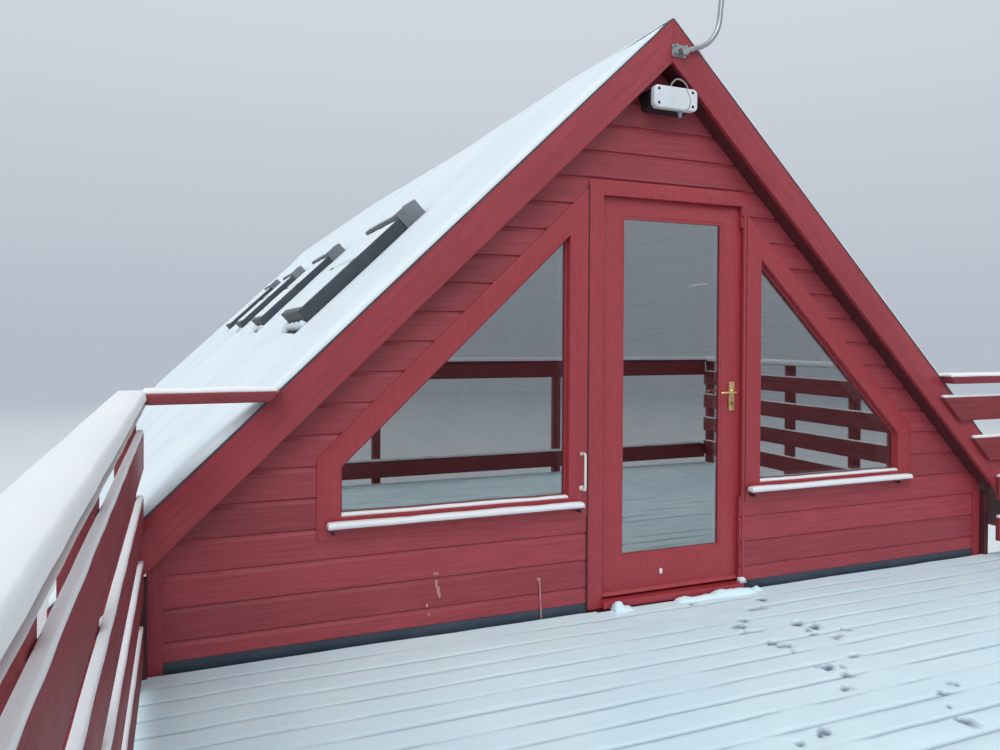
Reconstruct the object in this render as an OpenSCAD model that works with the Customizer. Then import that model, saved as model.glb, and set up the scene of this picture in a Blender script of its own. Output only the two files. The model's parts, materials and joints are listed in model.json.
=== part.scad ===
// A-frame cabin: a steep gabled timber lodge whose upper room opens on a raised deck.
// X runs along the front gable, Y runs into the building, Z is up from the ground.
// The origin is at the foot of the front wall, under the ridge, in the middle of the wall's thickness.

/* [Building] */
// Length from the face of the front wall to the face of the rear wall
house_l = 12200; // [8000:100:16000]
// Width over the side walls
house_w = 4660; // [4200:10:5200]
// Thickness of every outer wall
wall_t = 140; // [100:5:200]
// Height of the deck's top over the ground
deck_h = 2400; // [2100:10:2900]
// Height of the bargeboards' top edge over the deck, above the faces of the side walls
eaves_over_deck = 649; // [600:1:800]
// Thickness of the upper floor
floor_t = 200; // [120:5:300]
// Top of the upper floor over the deck
floor_step = 45; // [20:1:80]
// Thickness of the base storey's floor
base_floor_t = 100; // [50:5:200]

/* [Roof] */
// Angle of both slopes
roof_pitch = 43.8; // [42:0.1:46]
// Reach of the roof past each side wall
eave_reach = 300; // [200:10:400]
// Reach of the bargeboards' faces past the gable walls
verge_reach = 125; // [90:5:200]
// Width of a bargeboard, square to its slope
barge_w = 154; // [130:1:200]
// Thickness of a bargeboard
barge_t = 28; // [18:1:40]
// How far the roof covering lies under the bargeboards' top edge
cover_drop = 12; // [5:1:25]
// Thickness of the eaves boards
fascia_t = 22; // [16:1:40]
// Width of each wing of the ridge capping
ridge_wing = 130; // [80:5:200]
// Thickness of the ridge capping
ridge_t = 14; // [8:1:25]

/* [Roof windows] */
// Number of roof windows in each slope
roof_window_n = 4; // [1:1:4]
// Distance from the front wall's face to the first roof window
roof_window_start = 875; // [600:5:1200]
// Spacing of the roof windows along the ridge
roof_window_pitch = 2250; // [1800:10:3400]
// Width of a roof window along the ridge
roof_window_w = 780; // [550:10:1140]
// Length of a roof window down the slope
roof_window_l = 880; // [700:10:1180]
// Distance down the slope from the ridge to a roof window
roof_window_drop = 1290; // [1100:5:1500]
// Length of the hood over the upper end of a roof window
hood_l = 130; // [80:5:200]
// Height of the hood over the frame of a roof window
hood_up = 22; // [15:1:45]
// Height of a roof window's frame over the roof covering
roof_window_up = 120; // [50:5:150]
// Width of the frame round the pane of a roof window
roof_window_rim = 75; // [50:5:110]

/* [Front door] */
// Middle of the door leaf, to the right of the ridge
door_x = 102; // [-50:1:200]
// Width of the door leaf
leaf_w = 856; // [760:1:920]
// Height left between the roof's underside and the nearest corner of the door frame
door_roof_gap = 60; // [30:1:120]
// Thickness of the door leaf
leaf_t = 44; // [35:1:60]
// Gap between the leaf and its frame
leaf_gap = 7; // [6:0.5:9]
// Width of the leaf's stiles
stile_w = 127; // [90:1:140]
// Height of the leaf's top rail
top_rail_h = 98; // [80:1:130]
// Height of the leaf's bottom rail
kick_rail_h = 188; // [150:1:300]
// Width of the frame's face at the hinge side of the leaf
hinge_jamb_w = 82; // [60:1:100]
// Width of the frame's face at the lever side of the leaf
lever_jamb_w = 17; // [14:1:60]
// Height of the frame's face over the leaf
head_face_h = 74; // [60:1:90]
// How far the frame's face laps the edges of the leaf
stop_lap = 8; // [5:1:12]
// Clearance between the leaf and the back of the frame's face
stop_gap = 5; // [5:0.5:8]
// Depth of the rebate that the hinges stand in, beside and over the leaf
lining_set = 14; // [10:1:25]
// Diameter of the hinges' knuckles
hinge_d = 12; // [10:1:16]
// Length of a hinge
hinge_l = 100; // [70:2:130]
// Height of the threshold's top over the deck
threshold_up = 49; // [30:1:60]
// Reach of the threshold past the face of the frame
threshold_reach = 22; // [10:1:40]
// Height of the lever over the deck
lever_up = 1048; // [950:1:1150]
// Length of the lever
lever_l = 100; // [90:1:140]
// Height of the handle's plate
plate_h = 152; // [120:1:220]
// Width of the handle's plate
plate_w = 38; // [30:1:50]

/* [Gable windows] */
// Distance from the bargeboards' top edge to the left window's head, square to the slope
left_window_drop = 403; // [390:1:450]
// Height of the left window's opening at its low side
left_window_low = 241; // [150:1:320]
// Distance from the bargeboards' top edge to the right window's head, square to the slope
right_window_drop = 356; // [345:1:420]
// Height of the right window's opening at its low side
right_window_low = 250; // [150:1:320]
// Height of the windows' openings over the deck
window_sill_up = 545; // [500:5:620]
// Width of the flat trims round a window
trim_w = 78; // [60:1:80]
// Thickness of every flat trim
trim_t = 25; // [18:1:35]
// Depth of a window frame in the wall
window_frame_d = 70; // [50:1:90]
// Width of the window frame that shows inside the trims
window_frame_w = 22; // [15:1:40]
// Thickness of the glazing
glass_t = 20; // [6:1:28]
// Reach of the sills past the trims
sill_reach = 45; // [25:1:70]
// Thickness of the sills
sill_t = 28; // [20:1:45]
// Length of the pull handle beside the left window
pull_l = 190; // [140:2:260]

/* [Deck] */
// Depth of the deck in front of the wall
deck_d = 3480; // [3000:10:4200]
// Thickness of the deck boards
board_t = 28; // [20:1:40]
// Height of the joists
joist_h = 145; // [120:5:200]
// Thickness of the joists
joist_t = 47; // [38:1:75]
// Number of joists across one bay of the deck
joists_per_bay = 3; // [2:1:4]
// Height of the beams under the joists
beam_h = 195; // [150:5:250]
// Thickness of the beams
beam_t = 75; // [50:5:100]
// Side of the square posts under the deck
deck_post = 100; // [80:5:150]

/* [Balustrade] */
// Side of the square balustrade posts
rail_post = 70; // [60:1:90]
// Number of bays along the front of the deck
front_bays = 3; // [2:1:4]
// Distance from the left side wall's face to the middle of the left corner posts
left_post_out = 65; // [60:5:250]
// Distance from the right side wall's face to the middle of the right corner posts
right_post_out = 670; // [500:10:1200]
// Distance from the bargeboards' faces to the middle of the nearer posts along a side
near_post_out = 1408; // [1200:2:1700]
// Distance from the bargeboards' faces to the middle of the farther posts along a side
far_post_out = 2150; // [1900:10:2600]
// Height of the handrails' top over the deck
rail_up = 1116; // [1000:2:1200]
// Thickness of the handrails
rail_t = 42; // [30:1:60]
// Width of the handrails
rail_w = 96; // [80:2:140]
// Height of the balustrade boards
slat_h = 140; // [120:1:150]
// Thickness of the balustrade boards
slat_t = 25; // [18:1:35]
// Spacing of the balustrade boards, top to top
slat_pitch = 245; // [225:1:260]
// Height of the lowest board's top over the deck
slat_first = 235; // [200:5:260]
// Number of boards in a side of the balustrade
slat_n = 4; // [3:1:4]

/* [Apex fittings] */
// Width of the junction box
box_w = 250; // [180:2:300]
// Height of the junction box
box_h = 110; // [80:2:140]
// Depth of the junction box
box_d = 145; // [80:1:160]
// Middle of the junction box, to the right of the ridge
box_x = 8; // [0:1:40]
// Gap between the junction box and the roof's underside
box_gap = 4; // [2:1:60]
// Diameter of the bent aerial tube
tube_d = 26; // [20:1:34]
// Angle at which the tube leaves its bracket
tube_rise = 20; // [0:1:40]
// Radius of the tube's bend
bend_r = 190; // [90:1:220]
// Lean of the tube's upper end from upright
tube_lean = 6; // [0:1:20]
// Length of the tube's upper end
tube_up = 265; // [150:5:500]

/* [Hidden] */
$fn = 32;
overcut = 20;

slope = tan(roof_pitch);
half_w = house_w / 2;
// The walls' sides lie behind the corner boards' edges, with room for weatherboards
cladding_t = 20;
wall_x = half_w - cladding_t;
front_face = -wall_t / 2;
front_inner = wall_t / 2;
rear_face = front_face + house_l;
rear_inner = rear_face - wall_t;
apex_z = deck_h + eaves_over_deck + slope * half_w;
eave_x = half_w + eave_reach;
verge_front = front_face - verge_reach;
verge_rear = rear_face + verge_reach;
trim_face = front_face - trim_t;
// The walls end this far under the roof's underside
seat_gap = 0.2;

// Height that a thickness square to the slope takes up straight down
function plumb(t) = t / cos(roof_pitch);
// Height of the line that lies t under the bargeboards' top edge, at x
function slope_z(x, t = 0) = apex_z - slope * abs(x) - plumb(t);
function wall_top(x) = slope_z(x, barge_w + seat_gap);

// The visible opening lies between the frame's faces, which lap the leaf on three sides
leaf_x = door_x - leaf_w / 2;
leaf_right = leaf_x + leaf_w;
door_left = leaf_x + stop_lap - hinge_jamb_w;
door_right = leaf_right - stop_lap + lever_jamb_w;
door_corner_x = max(-door_left, door_right);
door_frame_top = slope_z(door_corner_x, barge_w) - door_roof_gap;
leaf_top = door_frame_top - head_face_h + stop_lap;
threshold_z = deck_h + threshold_up;
threshold_t = 34;
leaf_z = threshold_z + leaf_gap;
leaf_h = leaf_top - leaf_z;
leaf_face = front_face + stop_gap;
leaf_back = leaf_face + leaf_t;
wall_foot = threshold_z - threshold_t;
floor_z = deck_h + floor_step;

window_z = deck_h + window_sill_up;
left_window_x = door_left - trim_w;
right_window_x = door_right + trim_w;
left_window_h = slope_z(left_window_x, left_window_drop) - window_z;
right_window_h = slope_z(right_window_x, right_window_drop) - window_z;
left_window_w = (left_window_h - left_window_low) / slope;
right_window_w = (right_window_h - right_window_low) / slope;

// The hinges stand in the rebate behind the leaf's hinge edge
hinge_x = leaf_x - leaf_gap / 2;
hinge_y = leaf_back + hinge_d / 2;
hinge_from_end = 160;
hinge_zs = [
    leaf_z + hinge_from_end,
    leaf_z + (leaf_h - hinge_l) / 2,
    leaf_top - hinge_from_end - hinge_l
];
hinge_pin_d = 5;
hinge_bore_d = 6;
hinge_flap_t = 2.5;
hinge_flap_w = 24;
hinge_cap = 2;
knuckle_gap = 1;

// Left edge of the deck, right edge and front edge: the posts stand against these
left_post_x = half_w + left_post_out;
right_post_x = half_w + right_post_out;
bay_w = (left_post_x + right_post_x) / front_bays;
deck_left = -left_post_x + rail_post / 2;
deck_right = right_post_x - rail_post / 2;
deck_front = front_face - deck_d;
front_post_y = deck_front - rail_post / 2;
front_corner_y = deck_front + rail_post / 2;
back_corner_y = verge_front - rail_post / 2;
joist_top = deck_h - board_t;
beam_top = joist_top - joist_h;
post_foot = beam_top;
rail_under = deck_h + rail_up - rail_t;
rail_top = deck_h + rail_up;
side_post_ys = [front_corner_y, verge_front - far_post_out, verge_front - near_post_out, back_corner_y];
low_slat_up = 200;
low_slat_top = deck_h + low_slat_up;
front_slat_tops = [low_slat_top, rail_under];
return_step = 25;

joist_n = front_bays * joists_per_bay;
joist_step = (deck_right - deck_left - joist_t) / joist_n;
beam_inset = 120;
beam_ys = [deck_front + beam_inset, (deck_front + front_face) / 2];
deck_gap = 8;

corner_board_w = 60;
flashing_h = 55;
flashing_t = 16;
apron = 80;
apron_t = 6;
hood_lap = 12;
pane_t = 24;
pane_down = 14;
bead_t = 10;
glass_face = trim_face + window_frame_d - glass_t - bead_t;
sill_lap = 36;
sill_short = 10;

pull_in = 34;
pull_x = left_window_x + trim_w - pull_in;
pull_d = 12;
pull_off = 38;
pull_up = 50;

plate_t = 4;
plate_share = 0.64;
lever_d = 16;
lever_off = 48;
lever_x = leaf_right - stile_w / 2;
lever_z = deck_h + lever_up;

box_top = slope_z(box_x + box_w / 2, barge_w) - box_gap;
box_round = 12;
lid_t = 30;
lid_inset = 3;

bracket_x = 30;
bracket_drop = 158;
bracket_z = apex_z - bracket_drop;
bracket_w = 80;
bracket_h = 60;
bracket_t = 6;
clamp_l = 36;
clamp_h = 34;
clamp_d = 34;
clamp_edge = 8;
clamp_x = bracket_x + bracket_w / 2 - clamp_edge;
tube_run = 75;
tube_turn = 90 - tube_rise - tube_lean;

// Draws a shape given in X and Z, from y0 to y1
module along_y(y0, y1) {
    translate([0, y1, 0]) rotate([90, 0, 0]) linear_extrude(y1 - y0) children();
}

// A board or block between two corners
module block(a, b) {
    translate(a) cube(b - a);
}

// Places a piece on the right slope: x down the slope, y along the ridge, z out of the roof
module on_slope() {
    translate([0, 0, apex_z]) rotate([0, roof_pitch, 0]) children();
}

module to_left() {
    mirror([1, 0, 0]) children();
}

// Walls

module side_wall() {
    along_y(front_inner, rear_inner) polygon([
        [wall_x, 0],
        [wall_x, wall_top(wall_x)],
        [half_w - wall_t, wall_top(half_w - wall_t)],
        [half_w - wall_t, 0]
    ]);
}

module side_wall_left() {
    color("#8c3a42") to_left() side_wall();
}

module side_wall_right() {
    color("#8c3a42") side_wall();
}

module front_base_wall() {
    color("#8c3a42") block([-wall_x, front_face, 0], [wall_x, front_inner, wall_foot]);
}

// Outline of a window opening: its tall side is next to the door, its head follows the roof
module window_shape(w, h, grow = 0) {
    low = h - slope * w;
    polygon([
        [-grow, -grow],
        [w + grow, -grow],
        [w + grow, low + plumb(grow) - slope * grow],
        [-grow, h + plumb(grow) + slope * grow]
    ]);
}

// Places a window outline: side is 1 for the right window and -1 for the left one
module at_window(side) {
    x = side > 0 ? right_window_x : left_window_x;
    translate([x, window_z]) scale([side, 1]) children();
}

module front_half(side) {
    inner = side > 0 ? door_right : door_left;
    w = side > 0 ? right_window_w : left_window_w;
    h = side > 0 ? right_window_h : left_window_h;
    along_y(front_face, front_inner) difference() {
        polygon([
            [inner, wall_foot],
            [side * wall_x, wall_foot],
            [side * wall_x, wall_top(wall_x)],
            [inner, wall_top(inner)]
        ]);
        at_window(side) window_shape(w, h);
        if (side > 0) mullion_shape();
    }
}

// Outline of the post between the leaf and the right window, from the wall's foot to the window's head
module mullion_shape() {
    translate([door_right, wall_foot])
        square([right_window_x - door_right, window_z + right_window_h - wall_foot]);
}

module front_wall_left() {
    color("#a5464e") front_half(-1);
}

module front_wall_right() {
    color("#a5464e") front_half(1);
}

module front_wall_over_door() {
    color("#a5464e") along_y(front_face, front_inner) polygon([
        [door_left, door_frame_top],
        [door_right, door_frame_top],
        [door_right, wall_top(door_right)],
        [0, wall_top(0)],
        [door_left, wall_top(door_left)]
    ]);
}

module rear_wall() {
    color("#8c3a42") along_y(rear_inner, rear_face) difference() {
        polygon([
            [-wall_x, 0],
            [wall_x, 0],
            [wall_x, wall_top(wall_x)],
            [0, wall_top(0)],
            [-wall_x, wall_top(wall_x)]
        ]);
        at_window(-1) window_shape(left_window_w, left_window_h);
        at_window(1) window_shape(right_window_w, right_window_h);
    }
}

module upper_floor() {
    color("#b08a5a") block(
        [-half_w + wall_t, front_inner, floor_z - floor_t],
        [half_w - wall_t, rear_inner, floor_z]
    );
}

module base_floor() {
    color("#a8a49c") block([-half_w + wall_t, front_inner, 0], [half_w - wall_t, rear_inner, base_floor_t]);
}

module corner_board(y0, y1, z0) {
    along_y(y0, y1) polygon([
        [half_w, z0],
        [half_w, wall_top(half_w)],
        [half_w - corner_board_w, wall_top(half_w - corner_board_w)],
        [half_w - corner_board_w, z0]
    ]);
}

module corner_boards() {
    color("#8c3a42") for (side = [-1, 1]) scale([side, 1, 1]) {
        corner_board(trim_face, front_face, deck_h);
        corner_board(rear_face, rear_face + trim_t, 0);
    }
}

module flashing_strip(x0, x1) {
    block([x0, front_face - flashing_t, deck_h], [x1, front_face, deck_h + flashing_h]);
}

module base_flashing() {
    color("#33434f") {
        flashing_strip(-half_w + corner_board_w, door_left);
        flashing_strip(door_right, half_w - corner_board_w);
    }
}

// Roof

module roof_slab() {
    along_y(verge_front + barge_t, verge_rear - barge_t) polygon([
        [0, slope_z(0, cover_drop)],
        [eave_x, slope_z(eave_x, cover_drop)],
        [eave_x, slope_z(eave_x, barge_w)],
        [0, slope_z(0, barge_w)]
    ]);
}

function roof_window_y(i) = front_face + roof_window_start + i * roof_window_pitch;

module at_roof_windows() {
    for (i = [0 : roof_window_n - 1])
        on_slope() translate([roof_window_drop, roof_window_y(i), 0]) children();
}

module roof_half() {
    difference() {
        roof_slab();
        at_roof_windows() translate([0, 0, -barge_w - overcut])
            cube([roof_window_l, roof_window_w, barge_w + 2 * overcut]);
    }
}

module roof_left() {
    color("#4a5058") to_left() roof_half();
}

module roof_right() {
    color("#4a5058") roof_half();
}

module ridge_cap() {
    wing_x = ridge_wing * cos(roof_pitch);
    color("#4a5058") along_y(verge_front + barge_t, verge_rear - barge_t) polygon([
        [-wing_x, slope_z(wing_x, cover_drop)],
        [0, slope_z(0, cover_drop)],
        [wing_x, slope_z(wing_x, cover_drop)],
        [wing_x, slope_z(wing_x, cover_drop - ridge_t)],
        [0, slope_z(0, cover_drop - ridge_t)],
        [-wing_x, slope_z(wing_x, cover_drop - ridge_t)]
    ]);
}

module bargeboard(y) {
    along_y(y, y + barge_t) polygon([
        [0, slope_z(0)],
        [eave_x + fascia_t, slope_z(eave_x + fascia_t)],
        [eave_x + fascia_t, slope_z(eave_x + fascia_t, barge_w)],
        [0, slope_z(0, barge_w)]
    ]);
}

module bargeboard_front_left() {
    color("#a5303a") to_left() bargeboard(verge_front);
}

module bargeboard_front_right() {
    color("#a5303a") bargeboard(verge_front);
}

module bargeboards_rear() {
    color("#a5303a") {
        to_left() bargeboard(verge_rear - barge_t);
        bargeboard(verge_rear - barge_t);
    }
}

module eaves_boards() {
    color("#a5303a") for (side = [-1, 1]) scale([side, 1, 1])
        along_y(verge_front + barge_t, verge_rear - barge_t) polygon([
            [eave_x, slope_z(eave_x, barge_w)],
            [eave_x, slope_z(eave_x, cover_drop)],
            [eave_x + fascia_t, slope_z(eave_x + fascia_t, cover_drop)],
            [eave_x + fascia_t, slope_z(eave_x + fascia_t, barge_w)]
        ]);
}

// Roof windows: each frame fills its hole, stands over the covering and laps it with a flashing

module roof_window_frame() {
    difference() {
        union() {
            translate([0, 0, -barge_w])
                cube([roof_window_l, roof_window_w, barge_w - cover_drop + roof_window_up]);
            translate([-apron, -apron, -cover_drop])
                cube([roof_window_l + 2 * apron, roof_window_w + 2 * apron, apron_t]);
            translate([-hood_lap, -hood_lap, -cover_drop])
                cube([hood_l + hood_lap, roof_window_w + 2 * hood_lap, roof_window_up + hood_up]);
        }
        translate([hood_l, roof_window_rim, -barge_w - overcut])
            cube([
                roof_window_l - hood_l - roof_window_rim,
                roof_window_w - 2 * roof_window_rim,
                barge_w + roof_window_up + 2 * overcut
            ]);
    }
}

module roof_windows_left() {
    color("#3f474f") to_left() at_roof_windows() roof_window_frame();
}

module roof_windows_right() {
    color("#3f474f") at_roof_windows() roof_window_frame();
}

module roof_window_pane() {
    translate([hood_l, roof_window_rim, roof_window_up - cover_drop - pane_down - pane_t])
        cube([roof_window_l - hood_l - roof_window_rim, roof_window_w - 2 * roof_window_rim, pane_t]);
}

module roof_window_glass() {
    color("#9fb6c4", 0.5) {
        to_left() at_roof_windows() roof_window_pane();
        at_roof_windows() roof_window_pane();
    }
}

// Gable windows

module window_frame(side, w, h) {
    inside = -window_frame_w;
    along_y(trim_face, front_face) difference() {
        at_window(side) window_shape(w, h, trim_w);
        at_window(side) window_shape(w, h);
    }
    along_y(trim_face, trim_face + window_frame_d) difference() {
        at_window(side) window_shape(w, h);
        at_window(side) window_shape(w, h, inside);
    }
}

module window_frame_left() {
    color("#96414a") window_frame(-1, left_window_w, left_window_h);
}

module window_frame_right() {
    color("#96414a") window_frame(1, right_window_w, right_window_h);
}

module window_pane(side, w, h) {
    along_y(glass_face, glass_face + glass_t) at_window(side) window_shape(w, h, -window_frame_w);
}

module window_glass_left() {
    color("#9fb6c4", 0.5) window_pane(-1, left_window_w, left_window_h);
}

module window_glass_right() {
    color("#9fb6c4", 0.5) window_pane(1, right_window_w, right_window_h);
}

// One sill: it covers the foot of the trims and stands past their faces
module window_sill(x0, x1) {
    block(
        [x0, trim_face - sill_reach, window_z - sill_t],
        [x1, trim_face, window_z]
    );
}

module window_sills() {
    color("#96414a") {
        window_sill(left_window_x - left_window_w - sill_lap, left_window_x + sill_lap);
        window_sill(right_window_x - trim_w + sill_short, right_window_x + right_window_w + sill_lap);
    }
}

// A bar held off the trim by two short arms
module window_pull_handle() {
    z0 = window_z + pull_up;
    color("#d8cfc0") {
        translate([pull_x, trim_face - pull_off, z0]) cylinder(d = pull_d, h = pull_l);
        for (z = [z0 + pull_d, z0 + pull_l - pull_d])
            translate([pull_x, trim_face, z]) rotate([90, 0, 0]) cylinder(d = pull_d, h = pull_off);
    }
}

module to_rear() {
    translate([0, rear_face + front_face, 0]) mirror([0, 1, 0]) children();
}

module rear_window_frames() {
    color("#96414a") to_rear() {
        window_frame(-1, left_window_w, left_window_h);
        window_frame(1, right_window_w, right_window_h);
    }
}

module rear_window_glass() {
    color("#9fb6c4", 0.5) to_rear() {
        window_pane(-1, left_window_w, left_window_h);
        window_pane(1, right_window_w, right_window_h);
    }
}

// Door

// The frame's outline less an opening of its own for each depth
module door_opening(x0, x1, top) {
    translate([x0, wall_foot - overcut]) square([x1 - x0, top - wall_foot + overcut]);
}

module door_frame_outline() {
    translate([door_left, wall_foot]) square([door_right - door_left, door_frame_top - wall_foot]);
}

// From outside in: the face that laps the leaf, the posts that hold it, and the lining set back for the hinges
module door_frame() {
    color("#96414a") {
        along_y(trim_face, front_face) difference() {
            door_frame_outline();
            door_opening(leaf_x + stop_lap, leaf_right - stop_lap, leaf_top - stop_lap);
        }
        along_y(front_face, leaf_back) difference() {
            union() {
                door_frame_outline();
                mullion_shape();
            }
            door_opening(leaf_x - leaf_gap, leaf_right + leaf_gap, leaf_top + leaf_gap);
        }
        along_y(leaf_back, front_inner) difference() {
            union() {
                door_frame_outline();
                mullion_shape();
            }
            door_opening(
                leaf_x - leaf_gap - lining_set,
                leaf_right + leaf_gap + lining_set,
                leaf_top + leaf_gap + lining_set
            );
        }
    }
}

// Fills the foot of the frame's opening, wider behind the faces that lap the leaf
module door_threshold() {
    color("#7e3a40") {
        block(
            [leaf_x + stop_lap, trim_face - threshold_reach, wall_foot],
            [leaf_right - stop_lap, front_face, threshold_z]
        );
        block(
            [leaf_x - leaf_gap, front_face, wall_foot],
            [leaf_right + leaf_gap, leaf_back, threshold_z]
        );
        block(
            [leaf_x - leaf_gap - lining_set, leaf_back, wall_foot],
            [leaf_right + leaf_gap + lining_set, front_inner, threshold_z]
        );
    }
}

module door_leaf() {
    color("#96414a") along_y(leaf_face, leaf_face + leaf_t) difference() {
        translate([leaf_x, leaf_z]) square([leaf_w, leaf_h]);
        translate([leaf_x + stile_w, leaf_z + kick_rail_h])
            square([leaf_w - 2 * stile_w, leaf_h - top_rail_h - kick_rail_h]);
    }
}

module door_glass() {
    mid = leaf_face + leaf_t / 2;
    color("#9fb6c4", 0.5) block(
        [leaf_x + stile_w, mid - glass_t / 2, leaf_z + kick_rail_h],
        [leaf_right - stile_w, mid + glass_t / 2, leaf_top - top_rail_h]
    );
}

// The frame's half of each hinge: flap, lower knuckle, and the pin that carries the leaf's half
module door_hinges() {
    half_l = hinge_l / 2;
    flap_w = leaf_gap / 2 + lining_set;
    color("#c9a24b") for (z = hinge_zs) {
        translate([hinge_x - flap_w, leaf_back, z]) cube([flap_w, hinge_flap_t, half_l]);
        translate([hinge_x, hinge_y, z]) cylinder(d = hinge_d, h = half_l);
        translate([hinge_x, hinge_y, z]) cylinder(d = hinge_pin_d, h = hinge_l + knuckle_gap + hinge_cap);
    }
}

// The leaf's half of each hinge: flap and upper knuckle, bored for the pin
module leaf_hinges() {
    half_l = hinge_l / 2;
    color("#c9a24b") for (z = hinge_zs) difference() {
        union() {
            translate([hinge_x, leaf_back, z + half_l + knuckle_gap])
                cube([hinge_flap_w, hinge_flap_t, half_l - knuckle_gap]);
            translate([hinge_x, hinge_y, z + half_l + knuckle_gap])
                cylinder(d = hinge_d, h = half_l - knuckle_gap);
        }
        translate([hinge_x, hinge_y, z + half_l])
            cylinder(d = hinge_bore_d, h = half_l + overcut);
    }
}

// Plate, neck and lever on one face: out is -1 outside and 1 inside
module lever_set(y, out) {
    low = lever_z - plate_h * plate_share;
    block(
        [lever_x - plate_w / 2, min(y, y + out * plate_t), low],
        [lever_x + plate_w / 2, max(y, y + out * plate_t), low + plate_h]
    );
    translate([lever_x, y, lever_z]) rotate([-90 * out, 0, 0]) cylinder(d = lever_d, h = lever_off);
    translate([lever_x, y + out * lever_off, lever_z]) rotate([0, -90, 0]) cylinder(d = lever_d, h = lever_l);
    translate([lever_x, y + out * lever_off, lever_z]) sphere(d = lever_d);
}

module door_handle() {
    color("#c9a24b") {
        lever_set(leaf_face, -1);
        lever_set(leaf_back, 1);
    }
}

// Deck

module deck_boards() {
    color("#b7b2a8") block([deck_left, deck_front, joist_top], [deck_right, trim_face - deck_gap, deck_h]);
}

module deck_joists() {
    color("#8a7355") {
        for (i = [0 : joist_n])
            translate([deck_left + i * joist_step, deck_front, beam_top])
                cube([joist_t, deck_d, joist_h]);
        block([deck_left, deck_front, beam_top], [deck_right, deck_front + joist_t, joist_top]);
        block([deck_left, front_face - joist_t, beam_top], [deck_right, front_face, joist_top]);
    }
}

module deck_beams() {
    color("#7d674b") for (y = beam_ys)
        block([deck_left, y, beam_top - beam_h], [deck_right, y + beam_t, beam_top]);
}

module deck_posts() {
    color("#7d674b") for (y = beam_ys, i = [0 : front_bays])
        translate([
            deck_left + deck_post / 2 + i * (deck_right - deck_left - deck_post) / front_bays - deck_post / 2,
            y + beam_t / 2 - deck_post / 2,
            0
        ]) cube([deck_post, deck_post, beam_top - beam_h]);
}

// Balustrade

module rail_post_at(x, y, top = rail_under) {
    block([x - rail_post / 2, y - rail_post / 2, post_foot], [x + rail_post / 2, y + rail_post / 2, top]);
}

function slat_top(i) = deck_h + slat_first + i * slat_pitch;

// The side boards run inside the posts, from the front of the deck to the wall end
module balustrade_side() {
    for (y = side_post_ys) rail_post_at(0, y);
    for (i = [0 : slat_n - 1])
        block(
            [rail_post / 2, deck_front, slat_top(i) - slat_h],
            [rail_post / 2 + slat_t, verge_front, slat_top(i)]
        );
}

module balustrade_left() {
    color("#7f3a40") translate([-left_post_x, 0, 0]) balustrade_side();
}

module balustrade_right() {
    color("#7f3a40") translate([right_post_x, 0, 0]) mirror([1, 0, 0]) balustrade_side();
}

// The front is open between a low board and a board under the handrail
module balustrade_front() {
    color("#7f3a40") {
        for (i = [1 : front_bays - 1]) rail_post_at(i * bay_w - left_post_x, front_post_y);
        for (top = front_slat_tops)
            block(
                [deck_left + slat_t, deck_front, top - slat_h],
                [deck_right - slat_t, deck_front + slat_t, top]
            );
    }
}

// Boards that close the deck's right end between the bargeboard and the corner post
module balustrade_return() {
    color("#7f3a40") for (i = [0 : slat_n - 1]) {
        top = slat_top(i) + return_step;
        mid_x = (apex_z - top + slat_h / 2 - plumb(barge_w / 2)) / slope;
        block(
            [min(mid_x, half_w), verge_front - slat_t, top - slat_h],
            [deck_right - slat_t, verge_front, top]
        );
    }
}

// The handrails' outer faces lie flush with the posts
module handrails() {
    left_x = -left_post_x - rail_post / 2;
    right_x = right_post_x + rail_post / 2;
    front_y = front_post_y - rail_post / 2;
    end_y = verge_front + barge_t;
    mitre_z = apex_z + slope * seat_gap;
    color("#7f3a40") {
        block([left_x, front_y, rail_under], [left_x + rail_w, end_y, rail_top]);
        block([right_x - rail_w, front_y, rail_under], [right_x, end_y, rail_top]);
        block([-left_post_x, front_y, rail_under], [right_post_x, front_y + rail_w, rail_top]);
        along_y(verge_front - rail_post, end_y) for (end = [-left_post_x, right_post_x]) {
            side = end > 0 ? 1 : -1;
            polygon([
                [end, rail_under],
                [side * (mitre_z - rail_under) / slope, rail_under],
                [side * (mitre_z - rail_top) / slope, rail_top],
                [end, rail_top]
            ]);
        }
    }
}

// Fittings at the apex

// Outline of a box with rounded corners, in X and Z, shrunk by inset
module box_outline(inset) {
    w = box_w - 2 * inset;
    h = box_h - 2 * inset;
    r = box_round - inset;
    translate([box_x - w / 2, box_top - box_h + inset]) {
        translate([r, 0]) square([w - 2 * r, h]);
        translate([0, r]) square([w, h - 2 * r]);
        for (x = [r, w - r], z = [r, h - r]) translate([x, z]) circle(r);
    }
}

// A deep box with a slightly larger lid
module junction_box() {
    color("#b9bcc0") {
        along_y(front_face - box_d + lid_t, front_face) box_outline(lid_inset);
        along_y(front_face - box_d, front_face - box_d + lid_t) box_outline(0);
    }
}

// A flat plate on the bargeboards' faces, with a clamp set at the tube's angle
module aerial_bracket() {
    color("#9a9c9e") {
        translate([bracket_x - bracket_w / 2, verge_front - bracket_t, bracket_z - bracket_h / 2])
            cube([bracket_w, bracket_t, bracket_h]);
        translate([clamp_x, verge_front - bracket_t - clamp_d, bracket_z]) rotate([0, -tube_rise, 0])
            translate([-clamp_l, 0, -clamp_h / 2]) cube([clamp_l, clamp_d + bracket_t / 2, clamp_h]);
    }
}

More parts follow.
